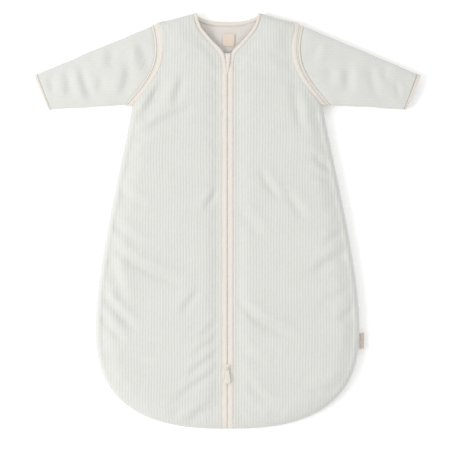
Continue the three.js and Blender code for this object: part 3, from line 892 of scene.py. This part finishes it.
def softened_copy(node, width):
    """A merged copy of a part from the frame with its edges rounded."""
    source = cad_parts[node]
    piece = source.copy()
    piece.data = source.data.copy()
    piece.name = piece.data.name = f"{node}_softened"
    bpy.context.scene.collection.objects.link(piece)
    in_edit_mode(piece, merge_doubles, dissolve_flat)
    apply_modifier(
        piece, "BEVEL", width=width * MM, segments=3, limit_method="ANGLE",
        angle_limit=math.radians(35), harden_normals=False,
    )
    return piece


# ---------------------------------------------------------------- sleeves
CUFF_TOP = (327, 247)
CUFF_FOOT = (302, 188)
BOW_KEPT_TO = 0.075
SLEEVE_FOLD = 0.15
ARMHOLE_HALF_HEIGHT = 11.5
CUFF_HALF_HEIGHT = 9.5
SLEEVE_BOTTOM_Z = 0.4
OVAL_POWER = 0.6
SLEEVE_RIB_SHARE = 0.5
SLEEVE_START = 12.4
SLEEVE_END = 0.974
SLEEVE_ROWS = 64
SLEEVE_GIRTH = 320
SHOULDER_LENGTH = math.dist(SHOULDER_TIP, CUFF_TOP)
UNDERARM_LENGTH = math.dist(ARMPIT, CUFF_FOOT)
# Soft folds in the sleeves, written as those of the front
SLEEVE_FOLDS = (
    (-265, 204, -271, 262, 7.5, 1.8, 0),
    (-226, 196, -247, 270, 7, 2.4, 4),
    (-199, 254, -193, 298, 9, 2.0, 0),
    (-179, 202, -163, 272, 9, 3.0, -3),
    (-135, 242, -148, 306, 7, 3.4, 0),
    (-214, 214, -212, 250, 7, 1.2, 0),
    (-294, 214, -300, 246, 6, 1.2, 0),
    (155, 308, 137, 260, 7.5, 2.2, 0),
    (205, 268, 202, 210, 8.5, 2.4, 0),
    (239, 266, 251, 204, 8.5, 2.0, 0),
    (268, 270, 262, 236, 9, 1.4, 0),
    (176, 262, 170, 226, 9, 1.6, 0),
    (284, 238, 290, 204, 5, 1.2, 0),
)


def sleeve_edges(f):
    """The shoulder edge and the underarm edge of the right sleeve at share f along it."""
    top = [lerp(SHOULDER_TIP[k], CUFF_TOP[k], f) for k in (0, 1)]
    foot = [lerp(ARMPIT[k], CUFF_FOOT[k], f) for k in (0, 1)]
    return top, foot


def across_sleeve_fold(sign, shift):
    """A point on the sleeve's fold line, moved this far towards the cuff."""
    top, foot = sleeve_edges(SLEEVE_FOLD)
    length = math.dist(top, foot)
    out = (-(foot[1] - top[1]) / length, (foot[0] - top[0]) / length)
    return (sign * (top[0] + shift * out[0]) * MM, (top[1] + shift * out[1]) * MM, 0)


def sleeve_point(t, f, w):
    """A point of the right sleeve: share t round it, share f along it, depth w under its face."""
    top, foot = sleeve_edges(f)
    half = np.hypot(foot[0] - top[0], foot[1] - top[1]) / 2
    across = [(foot[k] - top[k]) / (2 * half) for k in (0, 1)]
    angle = 2 * np.pi * t
    reach = -(half - w) * np.cos(angle)
    share = (1 + reach / half) / 2
    fade = 1 - np.clip((f - BOW_KEPT_TO) / (SLEEVE_FOLD - BOW_KEPT_TO), 0, 1)
    bow = ARMHOLE_BOW * np.sin(np.pi * share) * smooth(fade)
    height = lerp(ARMHOLE_HALF_HEIGHT, CUFF_HALF_HEIGHT, f)
    rise = np.sign(np.sin(angle)) * np.abs(np.sin(angle)) ** OVAL_POWER
    return (
        (top[0] + foot[0]) / 2 + reach * across[0] - bow,
        (top[1] + foot[1]) / 2 + reach * across[1],
        SLEEVE_BOTTOM_Z + height + (height - w) * rise,
    )


def round_share(t):
    """How far round from the shoulder side (0) to the underarm side (1) a point lies."""
    return (1 - np.cos(2 * np.pi * t)) / 2


def local_length(t):
    """The length of the sleeve at share t round it."""
    return lerp(SHOULDER_LENGTH, UNDERARM_LENGTH, round_share(t))


def sleeve_share(t, v):
    """The share along the sleeve at share v of the velvet tube, whose start runs beside the armhole."""
    return lerp(SLEEVE_START / local_length(t), SLEEVE_END, v)


def even_round(u):
    """Spreads points round the flat tube more evenly than equal angles do."""
    return u - 0.028 * np.sin(4 * np.pi * u)


def arc_from_underarm(t, f):
    """Length round the sleeve from its lower edge, which the ribs run along."""
    steps = np.linspace(0, 1, 25)[:, None]
    along = 0.5 + (t - 0.5) * steps
    way = [np.diff(p, axis=0) for p in sleeve_point(along, np.broadcast_to(f, along.shape), 0.3)]
    return np.sum(np.sqrt(way[0] ** 2 + way[1] ** 2 + way[2] ** 2), axis=0) * np.sign(t - 0.5)


def sleeve_tube(name, sign, around, thickness, depth):
    """A tube wall. depth(t, f) says how far its outer face lies under the sleeve's outline."""
    def place(u, v):
        t = even_round(u)
        f = sleeve_share(t, v)
        tucked = 0.9 * (1 - smooth(v / 0.025))
        x, y, z = sleeve_point(t, f, depth(t, f) + tucked)
        return sign * x, y, z

    tube = new_grid(name, around, SLEEVE_ROWS, place)
    in_edit_mode(tube, merge_doubles, face_outwards)
    apply_modifier(tube, "SOLIDIFY", thickness=thickness * MM, offset=-1)
    in_edit_mode(tube, face_outwards)
    u, v = grid_shares(tube)
    t = even_round(u)
    f = sleeve_share(t, v)
    lay_cloth(tube, arc_from_underarm(t, f), f * UNDERARM_LENGTH)
    return tube


def sleeve_relief(t, f, sign):
    """How far the sleeve's folds and unevenness lift its upper face."""
    x, y, _ = sleeve_point(t, f, 0.3)
    on_top = smooth(np.sin(2 * np.pi * t) * 1.6)
    folds = fold_height(sign * x, y, SLEEVE_FOLDS) * on_top
    ends = smooth((f - SLEEVE_START / local_length(t)) / 0.04) * smooth((SLEEVE_END - f) / 0.03)
    return (1.35 * folds + 0.5 * ripple(x, y + 40 * np.sin(2 * np.pi * t), 45, 31 + sign)) * ends


def make_sleeve(side):
    sign = SIDES[side]

    def depth(t, f):
        arc = np.abs(arc_from_underarm(t, f))
        ribs = rib_height(arc) * uneven_pile(arc, f * UNDERARM_LENGTH, 71 + sign) * SLEEVE_RIB_SHARE
        return 1.0 - ribs - sleeve_relief(t, f, sign)

    return sleeve_tube(f"sleeve_{side}_velvet", sign, around=380, thickness=1.0, depth=depth)


def make_sleeve_lining(side):
    sign = SIDES[side]

    def depth(t, f):
        return 3.0 - sleeve_relief(t, f, sign)

    return sleeve_tube(f"sleeve_{side}_lining_cloth", sign, around=190, thickness=0.9, depth=depth)


def closed_band(name, around, place, width, depths):
    """A band that goes once round the sleeve, with its cloth laid out along it."""
    band = new_grid(name, around, PROFILE_POINTS, place)
    in_edit_mode(band, merge_doubles, face_outwards)
    u, v = grid_shares(band)
    lay_cloth(band, v * 2 * (width + depths[1] - depths[0]), u * SLEEVE_GIRTH)
    return band


def armhole_band(name, sign, edges, depths, settle):
    """A soft band round the armhole, its edges so many millimetres from the seam line.

    The upper side of its inner edge settles on to the front, which is thinner than the sleeve.
    """
    def place(u, v):
        across, up = profile(v, BAND_CORNER)
        t = even_round(u)
        f = lerp(*edges, (1 + across) / 2) / local_length(t)
        x, y, z = sleeve_point(t, f, lerp(depths[1], depths[0], (1 + up) / 2))
        front = front_top(np.clip(x, PANEL_EDGE_X, HALF_WIDTH), y)
        on_top = smooth(np.sin(2 * np.pi * t) * 3)
        weight = settle * smooth((1 - across) / 2) * on_top
        return sign * x, y, lerp(z, np.minimum(z, front + 0.8 * up), weight)

    return closed_band(name, 140, place, edges[1] - edges[0], depths)


CUFF_SPAN = (0.975, 1.0)
CUFF_DEPTHS = (-0.1, 4.2)
CUFF_STITCH_SHARE = 0.979


def make_cuff_binding(side):
    """A soft band round the end of the sleeve."""
    def place(u, v):
        across, up = profile(v, BAND_CORNER)
        f = lerp(*CUFF_SPAN, (1 + across) / 2)
        x, y, z = sleeve_point(even_round(u), f, lerp(CUFF_DEPTHS[1], CUFF_DEPTHS[0], (1 + up) / 2))
        return SIDES[side] * x, y, z

    width = (CUFF_SPAN[1] - CUFF_SPAN[0]) * UNDERARM_LENGTH
    return closed_band(f"cuff_binding_{side}_ring", 120, place, width, CUFF_DEPTHS)


def make_cuff_stitches(side):
    t = np.linspace(0.02, 0.98, 240)
    x, y, z = sleeve_point(t, np.full_like(t, CUFF_STITCH_SHARE), 0.0)
    return row_of(f"cuff_stitches_{side}", stitch, np.stack([SIDES[side] * x, y, z], 1), STITCH_PITCH)


# ---------------------------------------------------------------- labels
def box_of(node):
    """The lowest and the highest corner of a node of the frame, in millimetres."""
    return ([c / MM for c in corner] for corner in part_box(node))


def make_neck_label():
    """A small woven label on the back lining, sewn down at its two ends."""
    low, high = box_of("neck_label")

    def place(u, v):
        x, y = lerp(low[0], high[0], u), lerp(low[1], high[1], v)
        bow = 0.5 * np.sin(np.pi * v) + 0.15 * np.sin(3 * np.pi * u)
        return x, y, high[2] + 0.4 + neck_bulge(x, y) + bow

    return thin_cloth("neck_label_cloth", 12, 18, place, 0.45)


LABEL_BEND = 0.12


def make_side_label():
    """A ribbon folded double and caught in the side seam."""
    low, high = box_of("side_label")
    reach = high[0] - low[0]

    def place(u, v):
        past_bend = np.abs(u - 0.5) - LABEL_BEND
        bend = 1 - 0.06 * np.abs(np.sin(4 * np.pi * (u - 0.5)))
        out = np.where(past_bend < 0, bend, 1 - past_bend / (0.5 - LABEL_BEND))
        held = np.clip(out, 0, 1)
        apart = 0.45 * np.clip((u - 0.5) / LABEL_BEND, -1, 1) * (1 + 0.8 * np.sin(np.pi * held))
        z = (low[2] + high[2]) / 2 + apart + 0.5 * np.sin(2.5 * np.pi * v) * out
        return low[0] + reach * held, lerp(low[1], high[1], v) + 1.5 * held, z

    label = new_grid("side_label_cloth", 24, 16, place)
    apply_modifier(label, "SOLIDIFY", thickness=0.3 * MM, offset=0)
    in_edit_mode(label, face_outwards)
    return label


# ---------------------------------------------------------------- node groups for the materials
def put(tree, kind, inputs, **settings):
    """Adds a node. Each input is either a value or the socket that feeds it."""
    node = tree.nodes.new(kind)
    for name, value in settings.items():
        setattr(node, name, value)
    for key, value in inputs.items():
        if isinstance(value, bpy.types.NodeSocket):
            tree.links.new(value, node.inputs[key])
        else:
            node.inputs[key].default_value = value
    return node


def calc(tree, operation, *values):
    return put(tree, "ShaderNodeMath", dict(enumerate(values)), operation=operation).outputs[0]


def new_group(name, vectors, numbers, outputs):
    """An empty node group: its tree, its inputs by name and the node that takes its outputs."""
    tree = bpy.data.node_groups.new(name, "ShaderNodeTree")
    for socket in vectors:
        tree.interface.new_socket(socket, in_out="INPUT", socket_type="NodeSocketVector")
    for socket in numbers:
        tree.interface.new_socket(socket, in_out="INPUT", socket_type="NodeSocketFloat")
    for socket in outputs:
        tree.interface.new_socket(socket, in_out="OUTPUT", socket_type="NodeSocketFloat")
    return tree, put(tree, "NodeGroupInput", {}).outputs, put(tree, "NodeGroupOutput", {})


def noise(tree, vector, scale, detail, roughness=0.5):
    inputs = {"Vector": vector, "Scale": scale, "Detail": detail, "Roughness": roughness}
    return put(tree, "ShaderNodeTexNoise", inputs).outputs["Fac"]


def wave(tree, value, pitch):
    """Goes from 0 to 1 and back over each pitch."""
    turns = calc(tree, "DIVIDE", value, pitch)
    return calc(tree, "ABSOLUTE", calc(tree, "SINE", calc(tree, "MULTIPLY", turns, math.pi)))


def mixed(tree, first, second, share):
    """This share of the first value with the rest of the second."""
    rest = calc(tree, "MULTIPLY", second, 1 - share)
    return calc(tree, "MULTIPLY_ADD", first, share, rest)


def make_mottle():
    """Slow drifts of tone, as dyed cloth has, and finer ones on top."""
    tree, given, out = new_group("mottle", ("Vector",), ("Scale",), ("Value",))
    slow = noise(tree, given["Vector"], given["Scale"], 3)
    fine = noise(tree, given["Vector"], calc(tree, "MULTIPLY", given["Scale"], 7.0), 2)
    tree.links.new(mixed(tree, slow, fine, 0.65), out.inputs["Value"])
    return tree


def make_pile():
    """Short brushed pile: single tufts, and clumps of tufts leaning together."""
    tree, given, out = new_group("pile", ("Vector",), (), ("Height", "Shade"))
    along = {"Vector": given["Vector"], "Scale": (1, 0.45, 1)}
    stretched = put(tree, "ShaderNodeMapping", along).outputs[0]
    tufts = noise(tree, stretched, 1500, 2, 0.6)
    clumps = noise(tree, stretched, 330, 3, 0.6)
    tree.links.new(mixed(tree, tufts, clumps, 0.45), out.inputs["Height"])
    tree.links.new(mixed(tree, clumps, tufts, 0.7), out.inputs["Shade"])
    return tree


def make_knit():
    """Columns of small V-shaped loops."""
    tree, given, out = new_group("knit", ("Cloth",), ("Gauge",), ("Height",))
    split = put(tree, "ShaderNodeSeparateXYZ", {"Vector": given["Cloth"]}).outputs
    column = wave(tree, split["X"], given["Gauge"])
    slant = calc(tree, "MULTIPLY", column, calc(tree, "MULTIPLY", given["Gauge"], 0.5))
    row_pitch = calc(tree, "MULTIPLY", given["Gauge"], 0.85)
    row = wave(tree, calc(tree, "ADD", split["Y"], slant), row_pitch)
    rounding = calc(tree, "POWER", column, 0.5)
    height = calc(tree, "MULTIPLY", rounding, calc(tree, "MULTIPLY_ADD", row, 0.6, 0.4))
    tree.links.new(height, out.inputs["Height"])
    return tree


def make_weave():
    """A fine twill: threads along the cloth that step sideways row by row."""
    tree, given, out = new_group("weave", ("Cloth",), ("Thread",), ("Height",))
    split = put(tree, "ShaderNodeSeparateXYZ", {"Vector": given["Cloth"]}).outputs
    threads = wave(tree, split["X"], given["Thread"])
    slope = calc(tree, "ADD", split["X"], split["Y"])
    steps = wave(tree, slope, calc(tree, "MULTIPLY", given["Thread"], 2.0))
    tree.links.new(mixed(tree, threads, steps, 0.5), out.inputs["Height"])
    return tree


def make_ribs():
    """1 along the crest of each rib and 0 in the valley between two: the mask for the painted shade in the
    rib valleys.
    """
    tree, given, out = new_group("ribs", ("Cloth",), ("Pitch",), ("Crest",))
    across = put(tree, "ShaderNodeSeparateXYZ", {"Vector": given["Cloth"]}).outputs["X"]
    crest = calc(tree, "POWER", wave(tree, across, given["Pitch"]), 0.7)
    tree.links.new(crest, out.inputs["Crest"])
    return tree


MOTTLE, PILE, KNIT, WEAVE, RIBS = make_mottle(), make_pile(), make_knit(), make_weave(), make_ribs()


# ---------------------------------------------------------------- materials
def new_material(name, color, roughness, **sockets):
    material = bpy.data.materials.new(name)
    material.use_nodes = True
    shader = material.node_tree.nodes["Principled BSDF"]
    shader.inputs["Base Color"].default_value = (*color, 1)
    shader.inputs["Roughness"].default_value = roughness
    for socket, value in sockets.items():
        shader.inputs[socket.replace("_", " ")].default_value = value
    return material


def use(tree, group, **inputs):
    return put(tree, "ShaderNodeGroup", inputs, node_tree=group).outputs


def mix_colors(tree, share, first, second):
    """One colour turning into another as the share goes from 0 to 1."""
    inputs = {"Factor": share, 6: (*first, 1), 7: (*second, 1)}
    return put(tree, "ShaderNodeMix", inputs, data_type="RGBA").outputs[2]


def multiply(tree, first, second):
    inputs = {"Factor": 1, 6: first, 7: second}
    return put(tree, "ShaderNodeMix", inputs, data_type="RGBA", blend_type="MULTIPLY").outputs[2]


def bump(tree, height, distance, strength=1.0):
    inputs = {"Height": height, "Distance": distance, "Strength": strength}
    return put(tree, "ShaderNodeBump", inputs).outputs["Normal"]


def cloth_inputs(tree):
    """Where a point is in space, and where it lies on the flat cloth."""
    coordinates = put(tree, "ShaderNodeTexCoord", {}).outputs
    return coordinates["Object"], coordinates["UV"]


def shaded(color, factor):
    return tuple(c * factor for c in color)


def feed(material, **sockets):
    shader = material.node_tree.nodes["Principled BSDF"]
    for name, value in sockets.items():
        material.node_tree.links.new(value, shader.inputs[name.replace("_", " ")])


def make_velvet(name, valley):
    """Brushed pile over round ribs, with painted shade making the valleys between the ribs darker."""
    crest = (0.700, 0.707, 0.677)
    material = new_material(
        name, crest, 0.95, Sheen_Weight=0.22, Sheen_Roughness=0.45, Specular_IOR_Level=0.2,
        Sheen_Tint=(1, 0.985, 0.95, 1),
    )
    tree = material.node_tree
    place, cloth = cloth_inputs(tree)
    ribs = use(tree, RIBS, Cloth=cloth, Pitch=RIB_PITCH * MM)["Crest"]
    pile = use(tree, PILE, Vector=cloth)
    tone = use(tree, MOTTLE, Vector=place, Scale=26.0)["Value"]
    # painted shade: the rib valleys get a dimmer colour than the crests, scaled by the valley factor
    body = mix_colors(tree, ribs, shaded((0.700, 0.700, 0.660), valley), crest)
    brushed = mix_colors(tree, pile["Shade"], (0.93, 0.93, 0.93), (1.05, 1.05, 1.05))
    drifting = mix_colors(tree, tone, (0.955, 0.955, 0.95), (1.045, 1.04, 1.035))
    color = multiply(tree, multiply(tree, body, brushed), drifting)
    normal = bump(tree, pile["Height"], 0.0007, 0.7)
    feed(material, Base_Color=color, Normal=normal)
    return material


def make_cloth(name, color, group, size_name, size, roughness=0.9, depth=0.00025, **sockets):
    """A woven or knitted cloth: its structure in relief, painted shade where that structure lies low and a
    faint painted highlight where it stands high, with drifts of tone.
    """
    material = new_material(name, color, roughness, Specular_IOR_Level=0.25, **sockets)
    tree = material.node_tree
    place, cloth = cloth_inputs(tree)
    height = use(tree, group, Cloth=cloth, **{size_name: size})["Height"]
    tone = use(tree, MOTTLE, Vector=place, Scale=45.0)["Value"]
    # painted shade in the low parts of the cloth's structure and a faint painted highlight on its raised
    # parts
    threads = mix_colors(tree, height, shaded(color, 0.88), shaded(color, 1.03))
    drifting = mix_colors(tree, tone, (0.96, 0.955, 0.95), (1.04, 1.04, 1.04))
    feed(material, Base_Color=multiply(tree, threads, drifting), Normal=bump(tree, height, depth))
    return material


def make_plastic(name, color, roughness, **sockets):
    """Moulded or enamelled parts: almost smooth, a little uneven in tone and gloss."""
    material = new_material(name, color, roughness, **sockets)
    tree = material.node_tree
    place, _ = cloth_inputs(tree)
    tone = use(tree, MOTTLE, Vector=place, Scale=220.0)["Value"]
    gloss = calc(tree, "MULTIPLY_ADD", tone, 0.2, roughness - 0.1)
    color_out = mix_colors(tree, tone, shaded(color, 0.95), shaded(color, 1.04))
    feed(material, Base_Color=color_out, Roughness=gloss, Normal=bump(tree, tone, 0.00008))
    return material


# The second number scales the painted shade in the rib valleys: near 1 on the sleeves, so little shade is
# painted there.
VELVET = make_velvet("rib_velvet", 0.94)
SLEEVE_VELVET = make_velvet("rib_velvet_sleeve", 0.985)
JERSEY = make_cloth("jersey_lining", (0.79, 0.755, 0.71), KNIT, "Gauge", 0.0011, Sheen_Weight=0.15)
BINDING = make_cloth(
    "cream_binding", (0.83, 0.785, 0.72), KNIT, "Gauge", 0.0008, depth=0.0002, Sheen_Weight=0.15,
)
TAPE = make_cloth("zip_tape", (0.76, 0.72, 0.66), WEAVE, "Thread", 0.0006)
THREAD = make_cloth(
    "sewing_thread", (0.82, 0.78, 0.72), WEAVE, "Thread", 0.0003, roughness=0.6, depth=0.00008,
)
COIL = make_plastic("zip_coil_nylon", (0.84, 0.80, 0.74), 0.42)
HARDWARE = make_plastic("cream_enamel", (0.74, 0.70, 0.63), 0.32, Coat_Weight=0.35, Coat_Roughness=0.2)
NECK_LABEL = make_cloth("neck_label_weave", (0.85, 0.73, 0.61), WEAVE, "Thread", 0.0005, roughness=0.7)
SIDE_LABEL = make_cloth("side_label_weave", (0.74, 0.64, 0.58), WEAVE, "Thread", 0.0005, roughness=0.7)

# ---------------------------------------------------------------- building
for side in SIDES:
    fold = front_fold(side)
    padding = [f"{part}_{side}_{layer}" for part in ("front", "lapel") for layer in ("outer", "wadding")]
    velvet = finish_piece(make_front(side), VELVET, blend=fold, replaces=padding)
    finish_piece(
        make_lining(side), JERSEY, blend=fold,
        replaces=(f"front_{side}_lining", f"lapel_{side}_lining"),
    )
    finish_piece(
        make_front_binding(side), BINDING, blend=fold,
        replaces=(f"front_binding_{side}", f"hem_binding_{side}"),
    )
    finish_piece(make_binding_stitches(side), THREAD, blend=fold)
    finish_piece(make_teeth(side), COIL, blend=fold, replaces=(f"zip_coil_{side}",))
    finish_piece(
        make_tape(side), TAPE, blend=fold,
        replaces=(f"zip_tape_{side}", f"zip_tape_end_{side}"),
    )

back = finish_piece(make_back(), VELVET, "bag", replaces=("back_outer", "back_wadding"))
finish_piece(make_back_lining(), JERSEY, "bag", replaces=("back_lining",))
finish_piece(make_back_neck_binding(), BINDING, "bag", replaces=("back_neck_binding",))
finish_piece(make_neck_label(), NECK_LABEL, "bag", replaces=("neck_label",), angle=40)
finish_piece(make_side_label(), SIDE_LABEL, "bag", replaces=("side_label",), angle=40)

# The body that each hard part rides on, and how far its edges are rounded
HARD_PARTS = {
    "zip_slider": ("zip_slider", 0.35),
    "zip_pull": ("zip_pull", 0.3),
    "zip_bottom_stop": ("bag", 0.25),
    "zip_insertion_pin": ("lapel_left", 0.15),
    "zip_retainer_box": ("lapel_right", 0.3),
}
for node, (body, edge) in HARD_PARTS.items():
    copy = softened_copy(node, edge)
    finish_piece(copy, HARDWARE, body, replaces=(node,), angle=40)
finish_piece(make_zip_guard(), BINDING, "lapel_right", replaces=("zip_guard",))
finish_piece(make_zip_underlap(), BINDING, "lapel_right")
finish_piece(make_zip_foot(), BINDING, "bag")
for node in ("side_and_hem_seam", "shoulder_seam_left", "shoulder_seam_right"):
    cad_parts[node].material_slots[0].material = JERSEY

# Bands round each armhole: edges from the seam line, depths, how far they settle, cloth and slot
ARMHOLE_BANDS = {
    "armhole_binding": ((-3, 7.4), (-0.8, 3.8), 1, BINDING, "binding"),
    "armhole_zip": ((7.2, 9.4), (0.6, 3.0), 0, COIL, "zip_coil"),
    "sleeve_zip": ((9.6, 13.6), (-0.4, 3.0), 0, BINDING, "zip_tape"),
}
for side, sign in SIDES.items():
    head, arm = f"sleeve_head_{side}", f"sleeve_{side}"
    bend = (head, arm, across_sleeve_fold(sign, -6), across_sleeve_fold(sign, 14))
    sleeve = finish_piece(
        make_sleeve(side), SLEEVE_VELVET, blend=bend, replaces=(head, arm),
    )
    finish_piece(
        make_sleeve_lining(side), JERSEY, blend=bend,
        replaces=(f"sleeve_head_lining_{side}", f"sleeve_lining_{side}"),
    )
    for part, (edges, depths, settle, material, slot) in ARMHOLE_BANDS.items():
        band = armhole_band(f"{part}_{side}_band", sign, edges, depths, settle)
        body = head if part == "sleeve_zip" else "bag"
        finish_piece(band, material, body, replaces=(f"{part}_{side}",))
    finish_piece(
        make_cuff_binding(side), BINDING, arm, replaces=(f"cuff_binding_{side}",),
    )
    finish_piece(make_cuff_stitches(side), THREAD, arm)

# ---------------------------------------------------------------- stage, lights and camera
FLOOR = new_material(
    "studio_floor", (0.97, 0.97, 0.97), 1.0, Emission_Color=(1, 1, 1, 1), Emission_Strength=0.14,
)


def make_stage():
    bpy.ops.object.select_all(action="DESELECT")
    bpy.ops.mesh.primitive_plane_add(size=12, location=(0, 0, -0.0002))
    floor = bpy.context.object
    floor.name = "floor"
    floor.data.materials.append(FLOOR)


def area_light(name, place, size, power):
    light = bpy.data.lights.new(name, "AREA")
    light.shape = "DISK"
    light.size = size
    light.energy = power
    lamp = bpy.data.objects.new(name, light)
    bpy.context.scene.collection.objects.link(lamp)
    lamp.location = place
    lamp.rotation_euler = (-Vector(place)).to_track_quat("-Z", "Y").to_euler()


def make_lights():
    area_light("key_from_left", (-1.9, -0.35, 1.8), 1.5, 30)
    area_light("kicker_from_top", (0.5, 1.9, 1.7), 0.9, 4)
    world = bpy.data.worlds.new("studio")
    bpy.context.scene.world = world
    world.use_nodes = True
    sky = world.node_tree.nodes["Background"].inputs
    sky["Color"].default_value = (1, 1, 1, 1)
    sky["Strength"].default_value = 0.8


def make_camera():
    """Straight down over the bag."""
    camera = bpy.data.cameras.new("camera")
    lens_distance = 3.0
    framed_width = 0.7583
    camera.sensor_width = 36
    camera.lens = camera.sensor_width * lens_distance / framed_width
    camera.clip_end = 50
    holder = bpy.data.objects.new("camera", camera)
    bpy.context.scene.collection.objects.link(holder)
    holder.location = (-0.0042, -0.0066, lens_distance + 0.02)
    bpy.context.scene.camera = holder


make_stage()
make_lights()
make_camera()
bpy.context.scene.view_settings.view_transform = "Standard"
